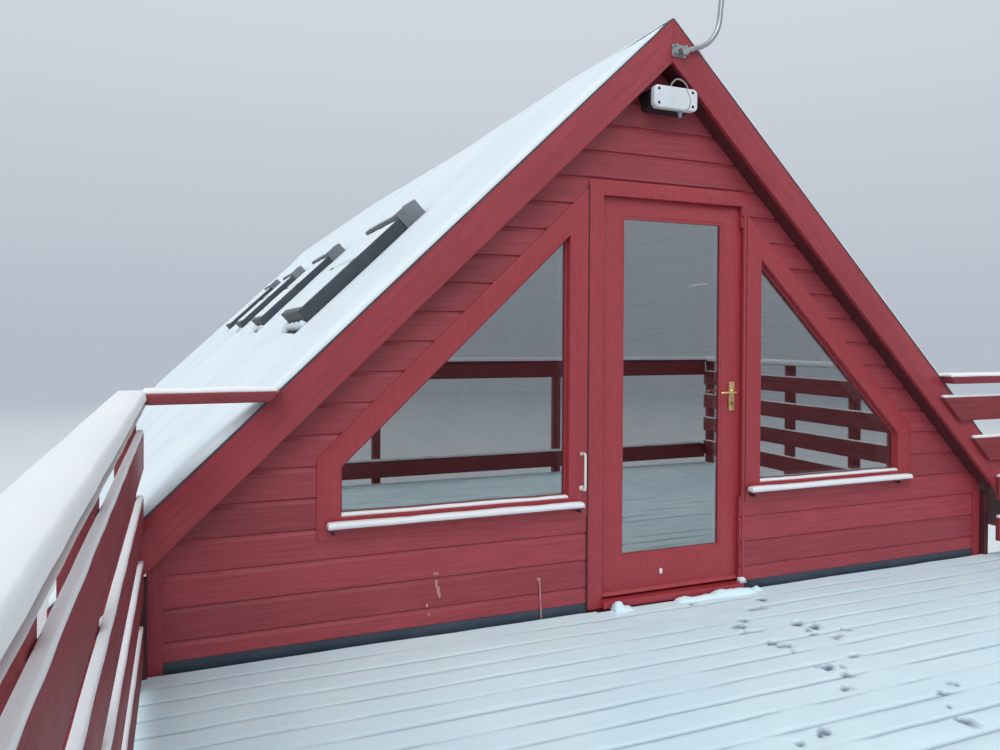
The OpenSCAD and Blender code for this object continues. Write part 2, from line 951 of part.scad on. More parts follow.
// A tube that leaves the bracket's clamp at a low angle and turns up past the ridge
module aerial_tube() {
    y = verge_front - bracket_t - clamp_d / 2;
    color("#8f9193") translate([clamp_x, y, bracket_z]) rotate([0, -tube_rise, 0]) {
        rotate([0, 90, 0]) cylinder(d = tube_d, h = tube_run);
        translate([tube_run, 0, bend_r]) rotate([90, 0, 0]) rotate([0, 0, -90]) {
            rotate_extrude(angle = tube_turn) translate([bend_r, 0]) circle(d = tube_d);
            rotate([0, 0, tube_turn]) translate([bend_r, 0, 0]) rotate([-90, 0, 0])
                cylinder(d = tube_d, h = tube_up);
        }
    }
}

side_wall_left();
side_wall_right();
front_base_wall();
front_wall_left();
front_wall_right();
front_wall_over_door();
rear_wall();
upper_floor();
base_floor();
roof_left();
roof_right();
ridge_cap();
bargeboard_front_left();
bargeboard_front_right();
bargeboards_rear();
eaves_boards();
corner_boards();
base_flashing();
door_frame();
door_threshold();
window_frame_left();
window_frame_right();
window_glass_left();
window_glass_right();
window_sills();
window_pull_handle();
rear_window_frames();
rear_window_glass();
roof_windows_left();
roof_windows_right();
roof_window_glass();
deck_boards();
deck_joists();
deck_beams();
deck_posts();
balustrade_left();
balustrade_front();
balustrade_right();
balustrade_return();
handrails();
junction_box();
aerial_bracket();
aerial_tube();
door_hinges();
door_leaf();
door_glass();
door_handle();
leaf_hinges();
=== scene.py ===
import itertools
import json
import math
import bmesh
import bpy
from mathutils import Matrix, Vector, noise


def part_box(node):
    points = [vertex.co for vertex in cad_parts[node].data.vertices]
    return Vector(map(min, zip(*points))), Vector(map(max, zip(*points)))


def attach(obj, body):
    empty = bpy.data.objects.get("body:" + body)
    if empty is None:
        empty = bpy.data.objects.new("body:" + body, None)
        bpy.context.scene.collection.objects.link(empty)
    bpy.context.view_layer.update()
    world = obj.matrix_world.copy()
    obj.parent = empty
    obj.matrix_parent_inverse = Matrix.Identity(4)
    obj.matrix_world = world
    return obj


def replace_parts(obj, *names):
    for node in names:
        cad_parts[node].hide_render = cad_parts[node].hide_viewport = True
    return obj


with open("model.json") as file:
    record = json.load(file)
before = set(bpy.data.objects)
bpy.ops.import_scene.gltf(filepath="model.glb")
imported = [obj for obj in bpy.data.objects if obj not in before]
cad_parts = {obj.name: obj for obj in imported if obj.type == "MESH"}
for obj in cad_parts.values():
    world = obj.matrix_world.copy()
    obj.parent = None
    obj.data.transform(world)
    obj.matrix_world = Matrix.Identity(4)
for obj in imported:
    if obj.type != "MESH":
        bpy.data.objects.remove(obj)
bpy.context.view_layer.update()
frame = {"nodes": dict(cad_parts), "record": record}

nodes = frame["nodes"]
slotOf = {part["node"]: part["material_slot"] for part in frame["record"]["subparts"]}
collection = bpy.context.scene.collection

# Lines of the building that many pieces follow, in metres
roofTilt = math.radians(43.8)
roofSlope = math.tan(roofTilt)
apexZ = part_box("bargeboard_front_left")[1].z
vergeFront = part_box("bargeboard_front_left")[0].y
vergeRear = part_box("bargeboards_rear")[1].y
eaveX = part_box("bargeboard_front_right")[1].x
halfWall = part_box("side_wall_right")[1].x
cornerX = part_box("corner_boards")[1].x
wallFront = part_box("front_wall_left")[0].y
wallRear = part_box("rear_wall")[1].y
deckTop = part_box("deck_boards")[1].z
bargeWidth = 0.154
trimWidth = 0.078
lapPitch = 0.1316
firstLap = deckTop - 0.0036

camera = {
    "place": (-2.1992, -3.3725, 3.7369), "yaw": 22.2436, "pitch": -0.5403, "roll": 0.3136,
    "lens": 27.884, "shiftY": -0.0321,
}


def placeCamera():
    yaw, pitch, roll = (math.radians(camera[k]) for k in ("yaw", "pitch", "roll"))
    ahead = Vector((math.sin(yaw) * math.cos(pitch), math.cos(yaw) * math.cos(pitch), math.sin(pitch)))
    level = Vector((math.cos(yaw), -math.sin(yaw), 0))
    upright = level.cross(ahead)
    right = math.cos(roll) * level + math.sin(roll) * upright
    up = -math.sin(roll) * level + math.cos(roll) * upright
    data = bpy.data.cameras.new("viewCamera")
    data.lens, data.sensor_width, data.shift_y = camera["lens"], 36, camera["shiftY"]
    data.clip_end = 400
    obj = bpy.data.objects.new("viewCamera", data)
    turn = Matrix((right, up, -ahead)).transposed().to_4x4()
    obj.matrix_world = Matrix.Translation(camera["place"]) @ turn
    collection.objects.link(obj)
    bpy.context.scene.camera = obj


placeCamera()
print("camera placed")


def newMaterial(name):
    mat = bpy.data.materials.new(name)
    mat.use_nodes = True
    return mat, mat.node_tree


def feed(tree, socket, value):
    if isinstance(value, bpy.types.NodeSocket):
        tree.links.new(value, socket)
    else:
        socket.default_value = (*value, 1) if socket.type == "RGBA" else value


def wire(tree, kind, inputs=None, output=0, **settings):
    # A node with its settings and inputs in place; gives one of its outputs
    made = tree.nodes.new(kind)
    for key, value in settings.items():
        setattr(made, key, value)
    for key, value in (inputs or {}).items():
        feed(tree, made.inputs[key], value)
    return made.outputs[output]


def dress(mat, inputs):
    for key, value in inputs.items():
        feed(mat.node_tree, mat.node_tree.nodes["Principled BSDF"].inputs[key], value)
    return mat


def patternSpace(tree, scale=(1, 1, 1), lean=0):
    # The pattern is leaned first, about the building's length, and stretched after
    place = wire(tree, "ShaderNodeTexCoord", output="Object")
    for key, value in (("Rotation", (0, lean, 0)), ("Scale", scale)):
        place = wire(tree, "ShaderNodeMapping", {key: value, "Vector": place})
    return place


def noiseOf(tree, vector, scale, detail=4, rough=0.55):
    sizes = {"Vector": vector, "Scale": scale, "Detail": detail, "Roughness": rough}
    return wire(tree, "ShaderNodeTexNoise", sizes, "Fac")


def rampOf(tree, factor, stops):
    colour = wire(tree, "ShaderNodeValToRGB", {"Fac": factor}, "Color")
    ramp = colour.node.color_ramp
    while len(ramp.elements) < len(stops):
        ramp.elements.new(0.5)
    for element, (at, value) in zip(ramp.elements, stops):
        element.position = at
        element.color = (*value, 1) if isinstance(value, tuple) else (value, value, value, 1)
    return colour


def mixOf(tree, factor, a, b, mode="MIX"):
    return wire(tree, "ShaderNodeMix", {"Factor": factor, 6: a, 7: b}, 2, data_type="RGBA", blend_type=mode)


def mathOf(tree, kind, a, b=0.0):
    return wire(tree, "ShaderNodeMath", {0: a, 1: b}, operation=kind)


def bumpOf(tree, height, strength, distance):
    return wire(tree, "ShaderNodeBump", {"Strength": strength, "Distance": distance, "Height": height})


def axisOf(tree, index):
    place = wire(tree, "ShaderNodeTexCoord", output="Object")
    return wire(tree, "ShaderNodeSeparateXYZ", {0: place}, index)


def boardTone(tree, axis, start, step, low, high):
    # One tone for each board, by its place along an axis
    place = mathOf(tree, "DIVIDE", mathOf(tree, "SUBTRACT", axisOf(tree, axis), start), step)
    board = {"W": mathOf(tree, "FLOOR", place)}
    chance = wire(tree, "ShaderNodeTexWhiteNoise", board, "Value", noise_dimensions="1D")
    return place, rampOf(tree, chance, [(0, low), (1, high)])


# Grain runs along the axis with the small scale
alongX, alongY, alongZ = (2.2, 60, 60), (60, 2.2, 60), (60, 60, 2.2)


def paintedTimber(name, base, dark, light, grain=alongX, gloss=0.48, wear=0.2, courses=False, lean=0):
    mat, tree = newMaterial(name)
    fine = noiseOf(tree, patternSpace(tree, grain, lean), 2.0, 6, 0.6)
    broad = noiseOf(tree, patternSpace(tree), 1.7, 5, 0.62)
    colour = rampOf(tree, fine, [(0.32, dark), (0.5, base), (0.72, light)])
    colour = mixOf(tree, rampOf(tree, broad, [(0.38, 0.0), (0.72, 0.5)]), colour, dark)
    if courses:
        tone = boardTone(tree, 2, firstLap, lapPitch, (0.88, 0.86, 0.86), (1.10, 1.06, 1.06))[1]
        colour = mixOf(tree, 1.0, colour, tone, "MULTIPLY")
    chips = noiseOf(tree, patternSpace(tree, tuple(v * 0.35 for v in grain), lean), 9, 8, 0.7)
    colour = mixOf(tree, rampOf(tree, chips, [(0.66, 0.0), (0.74, wear)]), colour, (0.30, 0.15, 0.12))
    sheen = rampOf(tree, broad, [(0.3, gloss - 0.08), (0.7, gloss + 0.14)])
    return dress(mat, {"Base Color": colour, "Roughness": sheen, "Normal": bumpOf(tree, fine, 0.35, 0.0012)})


def plainTimber(name, dark, light, grain=alongX, gloss=0.6, step=0, axis=0, painted=False):
    mat, tree = newMaterial(name)
    rings = noiseOf(tree, patternSpace(tree, grain), 1.1, 5, 0.6)
    colour = rampOf(tree, rings, [(0.3, dark), (0.7, light)])
    if step:
        place, tone = boardTone(tree, axis, 0, step, (0.80, 0.78, 0.76), (1.10, 1.10, 1.10))
        colour = mixOf(tree, 1.0, colour, tone, "MULTIPLY")
        joint = mathOf(tree, "LESS_THAN", mathOf(tree, "PINGPONG", place, 0.5), 0.02)
        colour = mixOf(tree, joint, colour, tuple(v * 0.25 for v in dark))
    if painted:
        # Beyond the walls the same timber is painted, as on the soffit under the eaves; its near-black red is painted
        # shade under the overhang
        soffitShadeMask = mathOf(tree, "GREATER_THAN", mathOf(tree, "ABSOLUTE", axisOf(tree, 0)), halfWall - 0.01)
        for kind, limit in (("LESS_THAN", wallFront + 0.03), ("GREATER_THAN", wallRear - 0.03)):
            soffitShadeMask = mathOf(tree, "MAXIMUM", soffitShadeMask, mathOf(tree, kind, axisOf(tree, 1), limit))
        colour = mixOf(tree, soffitShadeMask, colour, (0.085, 0.014, 0.018))
    return dress(mat, {"Base Color": colour, "Roughness": gloss, "Normal": bumpOf(tree, rings, 0.3, 0.001)})


def cloudy(name, dark, light, gloss, metal=0.0, scale=5):
    mat, tree = newMaterial(name)
    cloud = noiseOf(tree, patternSpace(tree), scale, 6, 0.65)
    return dress(mat, {
        "Base Color": rampOf(tree, cloud, [(0.3, dark), (0.7, light)]), "Metallic": metal,
        "Roughness": rampOf(tree, cloud, [(0.3, gloss - 0.08), (0.7, gloss + 0.1)]),
        "Normal": bumpOf(tree, noiseOf(tree, patternSpace(tree), scale * 30, 3), 0.12, 0.0006),
    })


def snowMaterial(name, bright, shade, wetAndGrooveShade=None):
    mat, tree = newMaterial(name)
    drift = noiseOf(tree, patternSpace(tree), 1.3, 6, 0.6)
    grains = noiseOf(tree, patternSpace(tree), 90, 4, 0.7)
    colour = rampOf(tree, drift, [(0.3, shade), (0.62, bright)])
    if wetAndGrooveShade:
        # Where the snow is thin the wet boards show through; over the boards' joints the same blue-grey is painted
        # shade in the snow's grooves
        colour = mixOf(tree, wire(tree, "ShaderNodeAttribute", output="Fac", attribute_name="thin"), colour, wetAndGrooveShade)
    return dress(mat, {
        "Base Color": colour, "Roughness": 0.62, "Subsurface Weight": 0.1, "Subsurface Radius": (0.02, 0.03, 0.05),
        "Normal": bumpOf(tree, mixOf(tree, 0.55, grains, drift), 0.35, 0.004),
    })


def paneMaterial():
    mat, tree = newMaterial("windowPane")
    film = noiseOf(tree, patternSpace(tree), 3.0, 5, 0.6)
    tint = rampOf(tree, film, [(0.35, (0.72, 0.77, 0.79)), (0.7, (0.80, 0.86, 0.88))])
    return dress(mat, {"Base Color": tint, "Transmission Weight": 1.0, "Roughness": 0.0, "IOR": 3.0})


red = (0.335, 0.044, 0.060), (0.255, 0.033, 0.046), (0.385, 0.058, 0.076)
trimRed = (0.335, 0.036, 0.049), (0.262, 0.028, 0.039), (0.385, 0.050, 0.064)
joineryRed = (0.360, 0.038, 0.049), (0.318, 0.032, 0.042), (0.400, 0.046, 0.058)
# The rails' red is darker than the walls': partly weathered paint, partly painted shade
railRedWornAndShaded = (0.240, 0.031, 0.040), (0.170, 0.021, 0.028), (0.300, 0.045, 0.053)
weathered = (0.105, 0.080, 0.052), (0.240, 0.185, 0.120)
paints = {
    "gable": paintedTimber("gableRed", *red, alongX, courses=True),
    "side": paintedTimber("sideRed", *red, alongY, courses=True),
    "trim": paintedTimber("trimRed", *trimRed, alongZ, 0.42),
    "bargeLeft": paintedTimber("leftBargeRed", *trimRed, alongX, 0.42, lean=roofTilt),
    "bargeRight": paintedTimber("rightBargeRed", *trimRed, alongX, 0.42, lean=-roofTilt),
    "eaves": paintedTimber("eavesRed", *trimRed, alongY, 0.42),
    "joinery": paintedTimber("joineryRed", *joineryRed, (30, 30, 12), 0.40, wear=0.1),
    "railX": paintedTimber("frontRailRed", *railRedWornAndShaded, alongX, 0.55, wear=0.4),
    "railY": paintedTimber("sideRailRed", *railRedWornAndShaded, alongY, 0.55, wear=0.4),
    "deck": plainTimber("deckPlank", (0.115, 0.095, 0.075), (0.270, 0.235, 0.190), alongX, 0.7),
    "joist": plainTimber("joistTimber", *weathered, alongY, 0.75),
    "beam": plainTimber("beamTimber", *weathered, alongX, 0.75),
    "post": plainTimber("postTimber", *weathered, alongZ, 0.75),
    "floor": plainTimber("floorTimber", (0.130, 0.070, 0.032), (0.240, 0.140, 0.070), alongY, 0.42, 0.12, 0),
    # The lining's parts beyond the walls take the near-black red of painted shade
    "lining": plainTimber("pineLining", (0.230, 0.125, 0.060), (0.360, 0.220, 0.120), alongY, 0.5, 0.095, 2, True),
    # Pale timber, made paler still as painted light for the daylight the panes keep from the reveals
    "reveal": plainTimber("paleRevealPaintedLight", (0.600, 0.450, 0.400), (0.740, 0.600, 0.540), alongZ, 0.45),
    "innerSill": plainTimber("whiteSill", (0.680, 0.690, 0.700), (0.780, 0.790, 0.800), alongX, 0.4),
    "flashing": cloudy("slateFlashing", (0.026, 0.040, 0.062), (0.050, 0.072, 0.100), 0.42),
    "window": cloudy("windowFlashing", (0.028, 0.036, 0.050), (0.060, 0.074, 0.092), 0.38),
    "hood": cloudy("hoodMetal", (0.115, 0.125, 0.145), (0.180, 0.192, 0.215), 0.42),
    "covering": cloudy("roofCovering", (0.050, 0.055, 0.064), (0.085, 0.092, 0.104), 0.7),
    "steel": cloudy("galvanised", (0.330, 0.345, 0.360), (0.480, 0.490, 0.500), 0.38, 0.9, 18),
    "brass": cloudy("brassFurniture", (0.680, 0.440, 0.180), (0.860, 0.620, 0.310), 0.26, 1.0, 30),
    "pale": cloudy("paleCoated", (0.690, 0.650, 0.620), (0.800, 0.770, 0.740), 0.35, 0.0, 20),
    "plastic": cloudy("greyPlastic", (0.600, 0.630, 0.670), (0.700, 0.730, 0.770), 0.45, 0.0, 9),
    # Near black for the box's body behind the lid: painted shade
    "boxBodyPaintedShade": cloudy("boxBodyPaintedShade", (0.014, 0.011, 0.014), (0.030, 0.024, 0.028), 0.6, 0.0, 9),
    "cable": cloudy("greyCable", (0.230, 0.235, 0.250), (0.330, 0.335, 0.350), 0.5, 0.0, 40),
    # Near black for the line on the box lid, the screw heads and the keyholes: painted shade in these recesses
    "hole": cloudy("holeShadeBlack", (0.006, 0.006, 0.007), (0.012, 0.012, 0.013), 0.6),
    "shadeRed": cloudy("shadeRed", (0.045, 0.007, 0.010), (0.085, 0.013, 0.018), 0.6),
    "scuff": cloudy("scuffedRed", (0.420, 0.170, 0.180), (0.560, 0.290, 0.300), 0.6, 0.0, 30),
    "seal": cloudy("darkSeal", (0.018, 0.018, 0.020), (0.035, 0.036, 0.038), 0.6),
    "concrete": cloudy("bareConcrete", (0.330, 0.320, 0.300), (0.440, 0.430, 0.405), 0.85, 0.0, 2),
    # The rail and deck snows are lighter copies of the roof's snow, the deck's bluer too: painted light that offsets
    # the shade where they lie
    "snow": snowMaterial("snow", (0.770, 0.830, 0.870), (0.680, 0.760, 0.830)),
    "railSnow": snowMaterial("railSnow", (0.850, 0.855, 0.870), (0.790, 0.805, 0.845)),
    "deckSnow": snowMaterial("deckSnow", (0.750, 0.935, 0.990), (0.670, 0.870, 0.980), wetAndGrooveShade=(0.110, 0.150, 0.215)),
    "pane": paneMaterial(),
}
print("materials made:", len(paints))


def newShape():
    return {"verts": [], "faces": [], "thin": []}


def mirrored(side, a, b):
    return sorted((side * a, side * b))


def addPart(shape, verts, faces, convex=False):
    verts = [Vector(v) for v in verts]
    if convex:
        # Each face is turned to point away from the middle
        middle = sum(verts, Vector()) / len(verts)
        turned = []
        for face in faces:
            a, b, c = (verts[face[i]] for i in (0, 1, 2))
            away = (b - a).cross(c - a).dot(a - middle) > 0
            turned.append(tuple(face) if away else tuple(reversed(face)))
        faces = turned
    start = len(shape["verts"])
    shape["verts"] += verts
    shape["faces"] += [tuple(start + i for i in face) for face in faces]


def toObject(name, shape, paint, smooth=False):
    mesh = bpy.data.meshes.new(name)
    mesh.from_pydata([tuple(v) for v in shape["verts"]], [], shape["faces"])
    mesh.materials.append(paints[paint])
    if shape["thin"]:
        layer = mesh.attributes.new("thin", "FLOAT", "POINT")
        layer.data.foreach_set("value", shape["thin"])
    if smooth:
        mesh.shade_smooth()
    mesh.update()
    obj = bpy.data.objects.new(name, mesh)
    collection.objects.link(obj)
    return obj


def carry(obj, slot, body, node=None):
    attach(obj, body)
    if node:
        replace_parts(obj, node)
    return obj


def piece(name, shape, paint, slot=None, body="house", smooth=False, node=None):
    return carry(toObject(name, shape, paint, smooth), slot, body, node)


def addBoard(shape, low, high, edge=0.002, place=None):
    # A block with all its edges chamfered
    index, verts, faces = {}, [], []
    for corner in itertools.product((0, 1), repeat=3):
        for axis in range(3):
            index[corner, axis] = len(verts)
            verts.append([
                (high[k] if corner[k] else low[k]) + (0 if k == axis else (-edge if corner[k] else edge))
                for k in range(3)
            ])
        faces.append([index[corner, axis] for axis in range(3)])
    for axis in range(3):
        b, c = (axis + 1) % 3, (axis + 2) % 3

        def corner(s, t, u):
            made = [0, 0, 0]
            made[axis], made[b], made[c] = s, t, u
            return tuple(made)

        for side in (0, 1):
            faces.append([index[corner(side, *st), axis] for st in ((0, 0), (1, 0), (1, 1), (0, 1))])
        for t, u in itertools.product((0, 1), repeat=2):
            a0, a1 = corner(0, t, u), corner(1, t, u)
            faces.append([index[a0, b], index[a0, c], index[a1, c], index[a1, b]])
    if place:
        verts = [place(*v) for v in verts]
    addPart(shape, verts, faces, convex=True)


def addPrism(shape, outline, place, start, end):
    # A convex outline drawn in two directions and carried along the third
    n = len(outline)
    verts = [place(a, b, start) for a, b in outline] + [place(a, b, end) for a, b in outline]
    faces = [range(n), range(n, 2 * n)] + [(i, (i + 1) % n, n + (i + 1) % n, n + i) for i in range(n)]
    addPart(shape, verts, [tuple(f) for f in faces], convex=True)


def addTube(shape, points, radii, sides=12, flat=1.0):
    # A round bar along a path; flat below 1 presses its section
    points = [Vector(p) for p in points]
    radii = radii if isinstance(radii, (list, tuple)) else [radii] * len(points)
    side = None
    verts, faces = [], []
    for i, p in enumerate(points):
        ahead = (points[min(i + 1, len(points) - 1)] - points[max(i - 1, 0)]).normalized()
        if side is None:
            side = ahead.orthogonal().normalized()
            if abs(ahead.z) < 0.9:
                side = ahead.cross(Vector((0, 0, 1))).normalized()
        side = (side - ahead * side.dot(ahead)).normalized()
        other = ahead.cross(side)
        for k in range(sides):
            angle = 2 * math.pi * k / sides
            verts.append(p + radii[i] * (math.cos(angle) * side + flat * math.sin(angle) * other))
    for i in range(len(points) - 1):
        for k in range(sides):
            a, b = i * sides + k, i * sides + (k + 1) % sides
            faces.append((a, b, b + sides, a + sides))
    faces.append(tuple(reversed(range(sides))))
    faces.append(tuple(range(len(verts) - sides, len(verts))))
    addPart(shape, verts, faces)


def newTree(name, inputs):
    tree = bpy.data.node_groups.new(name, "GeometryNodeTree")
    for label, kind in {"Geometry": "Geometry", **inputs, "Material": "Material"}.items():
        tree.interface.new_socket(label, in_out="INPUT", socket_type="NodeSocket" + kind)
    tree.interface.new_socket("Geometry", in_out="OUTPUT", socket_type="NodeSocketGeometry")
    return tree, tree.nodes.new("NodeGroupInput").outputs


def closeTree(tree, given, geometry):
    real = wire(tree, "GeometryNodeRealizeInstances", {0: geometry})
    painted = wire(tree, "GeometryNodeSetMaterial", {"Geometry": real, "Material": given["Material"]})
    tree.links.new(painted, tree.nodes.new("NodeGroupOutput").inputs[0])
    return tree


def makeRowTree():
    # Repeats a piece in a row, each copy moved a little by chance
    tree, given = newTree("repeatInRow", {"Count": "Int", "Step": "Vector", "Looseness": "Vector", "Seed": "Int"})
    line = wire(tree, "GeometryNodeMeshLine", {"Count": given["Count"], "Offset": given["Step"]}, mode="OFFSET")
    less = wire(tree, "ShaderNodeVectorMath", {0: given["Looseness"], "Scale": -1}, operation="SCALE")
    limits = {"Min": less, "Max": given["Looseness"], "Seed": given["Seed"]}
    chance = wire(tree, "FunctionNodeRandomValue", limits, "Value", data_type="FLOAT_VECTOR")
    moved = wire(tree, "GeometryNodeSetPosition", {"Geometry": line, "Offset": chance})
    copies = wire(tree, "GeometryNodeInstanceOnPoints", {"Points": moved, "Instance": given["Geometry"]})
    return closeTree(tree, given, copies)


def makeHeadTree():
    # Sets a round head on every point of a mesh
    tree, given = newTree("roundHeads", {"Radius": "Float", "Height": "Float", "Sides": "Int", "Turn": "Vector"})
    smaller = mathOf(tree, "MULTIPLY", given["Radius"], 0.7)
    head = wire(tree, "GeometryNodeMeshCone", {
        "Vertices": given["Sides"], "Radius Bottom": given["Radius"], "Radius Top": smaller, "Depth": given["Height"],
    }, "Mesh")
    spots = {"Points": given["Geometry"], "Instance": head, "Rotation": given["Turn"]}
    return closeTree(tree, given, wire(tree, "GeometryNodeInstanceOnPoints", spots))


rowTree, headTree = makeRowTree(), makeHeadTree()


def grow(name, shape, tree, values, paint, slot=None, body="house"):
    # Runs a node tree on a shape and keeps the result as a plain mesh
    obj = toObject(name, shape, paint)
    modifier = obj.modifiers.new("grow", "NODES")
    modifier.node_group = tree
    values = {**values, "Material": paints[paint]}
    for item in tree.interface.items_tree:
        if item.item_type == "SOCKET" and item.in_out == "INPUT" and item.name in values:
            modifier[item.identifier] = values[item.name]
    seen = obj.evaluated_get(bpy.context.evaluated_depsgraph_get())
    mesh = bpy.data.meshes.new_from_object(seen)
    obj.modifiers.clear()
    obj.data = mesh
    return carry(obj, slot, body)


def rows(name, shape, paint, count, step, slot, loose=(0, 0, 0), seed=3):
    values = {"Count": count, "Step": step, "Looseness": loose, "Seed": seed}
    return grow(name, shape, rowTree, values, paint, slot)


def heads(name, points, paint, radius, height, turn=(0, 0, 0), sides=8, slot=None, body="house"):
    shape = newShape()
    shape["verts"] = [Vector(p) for p in points]
    values = {"Radius": radius, "Height": height, "Sides": sides, "Turn": turn}
    return grow(name, shape, headTree, values, paint, slot, body)


def softened(name, node, width, paint, body="house"):
    # A copy of a part with its edges rounded, in the part's place
    build = bmesh.new()
    build.from_mesh(nodes[node].data)
    bmesh.ops.remove_doubles(build, verts=build.verts, dist=1e-5)
    bmesh.ops.dissolve_limit(build, angle_limit=math.radians(1), verts=build.verts, edges=build.edges)
    mesh = bpy.data.meshes.new(name)
    build.to_mesh(mesh)
    build.free()
    mesh.materials.clear()
    mesh.materials.append(paints[paint])
    mesh.shade_smooth()
    obj = bpy.data.objects.new(name, mesh)
    collection.objects.link(obj)
    rounded = obj.modifiers.new("roundedEdges", "BEVEL")
    rounded.width, rounded.segments, rounded.limit_method = width, 2, "ANGLE"
    rounded.angle_limit, rounded.harden_normals = math.radians(30), True
    return carry(obj, slotOf[node], body, node)


# Parts kept as they are take a new finish
coats = {
    "gable": ["front_wall_left", "front_wall_right", "front_wall_over_door", "front_base_wall", "rear_wall"],
    "side": ["side_wall_left", "side_wall_right"],
    "floor": ["upper_floor"],
    "concrete": ["base_floor"],
    "lining": ["roof_left", "roof_right"],
    "covering": ["ridge_cap"],
    "trim": ["bargeboards_rear", "corner_boards"],
    "eaves": ["eaves_boards"],
    "flashing": ["base_flashing"],
    "pane": ["window_glass_left", "window_glass_right", "rear_window_glass", "roof_window_glass", "door_glass"],
    "joinery": ["rear_window_frames"],
    "joist": ["deck_joists"],
    "beam": ["deck_beams"],
    "post": ["deck_posts"],
    "brass": ["door_hinges", "leaf_hinges"],
    "steel": ["aerial_bracket", "aerial_tube"],
}
for paint, names in coats.items():
    for slot in [slot for name in names for slot in nodes[name].material_slots]:
        slot.material = paints[paint]

# Those near the eye also get rounded edges: part, width of the edge, finish and body
softCopies = {
    "gableBargeLeft": ("bargeboard_front_left", 0.003, "bargeLeft"),
    "gableBargeRight": ("bargeboard_front_right", 0.003, "bargeRight"),
    "windowTrimLeft": ("window_frame_left", 0.003, "joinery"),
    "windowTrimRight": ("window_frame_right", 0.003, "joinery"),
    "doorPosts": ("door_frame", 0.003, "joinery"),
    "doorStep": ("door_threshold", 0.004, "joinery"),
    "windowSills": ("window_sills", 0.004, "joinery"),
    "railLeft": ("balustrade_left", 0.003, "railY"),
    "railRight": ("balustrade_right", 0.003, "railY"),
    "railFront": ("balustrade_front", 0.003, "railX"),
    "handrailTimber": ("handrails", 0.005, "railY"),
    "leafTimber": ("door_leaf", 0.003, "joinery", "door"),
    "roofWindowsLeft": ("roof_windows_left", 0.004, "window"),
    "roofWindowsRight": ("roof_windows_right", 0.004, "window"),
}
finished = {name: softened(name, *facts) for name, facts in softCopies.items()}


def repaint(obj, paint, test):
    # Faces whose middle passes the test take another finish
    obj.data.materials.append(paints[paint])
    for face in obj.data.polygons:
        if test(face.center):
            face.material_index = len(obj.data.materials) - 1


def downRoof(p):
    return abs(p.x) * math.cos(roofTilt) + (apexZ - p.z) * math.sin(roofTilt)


def onHood(p):
    up = abs(p.x) * math.sin(roofTilt) - (apexZ - p.z) * math.cos(roofTilt)
    return downRoof(p) < roofWindows["from"] + roofWindows["hood"] + 0.002 and up < roofWindows["up"] + 0.020


def onFoot(p):
    return downRoof(p) > roofWindows["to"] - 0.004


roofWindows = {
    "first": 0.805, "pitch": 2.25, "wide": 0.78, "from": 1.29, "to": 2.17, "count": 4,
    "up": 0.108, "hood": 0.118, "hoodUp": 0.130,
}
for name in ("roofWindowsLeft", "roofWindowsRight"):
    repaint(finished[name], "hood", onHood)
    repaint(finished[name], "seal", onFoot)
print("parts finished:", len(softCopies))


# Weatherboards: (height over the lap, reach over the wall); heights below zero count from the next lap.
# They run on behind the trims, and stop short of the bargeboards and the corners
boardForm = {
    "levels": [(0, 0.0165), (0.004, 0.0200), (-0.022, 0.0185), (-0.010, 0.0130), (-0.0004, 0.0095)],
    "hide": 0.030, "clear": 0.001, "corner": 0.058, "narrow": 0.002, "sideEnd": 0.05,
}
boardTop = apexZ - (bargeWidth + boardForm["clear"]) / math.cos(roofTilt)
boardEnd = cornerX - boardForm["corner"]


def addCourses(shape, laps, spans, breaks, place, turned=False):
    # Boards from lap to lap, cut to the spans of wall that are free at each height
    for z0, z1 in zip(laps, laps[1:]):
        form = [((z0 if up >= 0 else z1) + up, out) for up, out in boardForm["levels"]]

        def reach(z):
            for (za, ya), (zb, yb) in zip(form, form[1:]):
                if z <= zb:
                    return ya + (yb - ya) * max(0, (z - za) / (zb - za))
            return form[-1][1]

        cuts = sorted({z0, form[-1][0]} | {b for b in breaks if z0 < b < form[-1][0]})
        for low, high in zip(cuts, cuts[1:]):
            levels = [low] + [z for z, _ in form if low < z < high] + [high]
            for (a0, b0), (a1, b1) in zip(spans(low + 1e-5), spans(high - 1e-5)):
                if max(b0 - a0, b1 - a1) < 0.006 or min(b0 - a0, b1 - a1) < -0.002:
                    continue
                verts, n = [], len(levels)
                for z in levels:
                    t = (z - low) / (high - low)
                    verts += [place(a0 + (a1 - a0) * t, z, reach(z)), place(b0 + (b1 - b0) * t, z, reach(z))]
                verts += [place(a0, low, 0), place(b0, low, 0), place(a1, high, 0), place(b1, high, 0)]
                k = 2 * n
                faces = [(2 * i, 2 * i + 1, 2 * i + 3, 2 * i + 2) for i in range(n - 1)]
                faces += [(k + 1, k, k + 2, k + 3), (k, k + 1, 1, 0), (k - 2, k - 1, k + 3, k + 2)]
                faces += [(k, *range(0, k, 2), k + 2), (k + 3, *range(k - 1, 0, -2), k + 1)]
                if turned:
                    faces = [tuple(reversed(face)) for face in faces]
                addPart(shape, verts, faces)


def windowFacts(node):
    # Opening of a window, from its trims: tall side, width, height there and foot
    low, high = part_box(node)
    side = 1 if low.x + high.x > 0 else -1
    tall = (low.x if side > 0 else high.x) + side * trimWidth
    width = high.x - low.x - 2 * trimWidth
    foot = low.z + trimWidth
    height = high.z - foot - trimWidth / math.cos(roofTilt) - roofSlope * trimWidth
    return {"side": side, "tall": tall, "width": width, "foot": foot, "height": height}


windows = [windowFacts("window_frame_left"), windowFacts("window_frame_right")]
doorLow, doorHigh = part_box("door_frame")
doorHigh = Vector((windows[1]["tall"] - trimWidth, doorHigh.y, doorHigh.z))


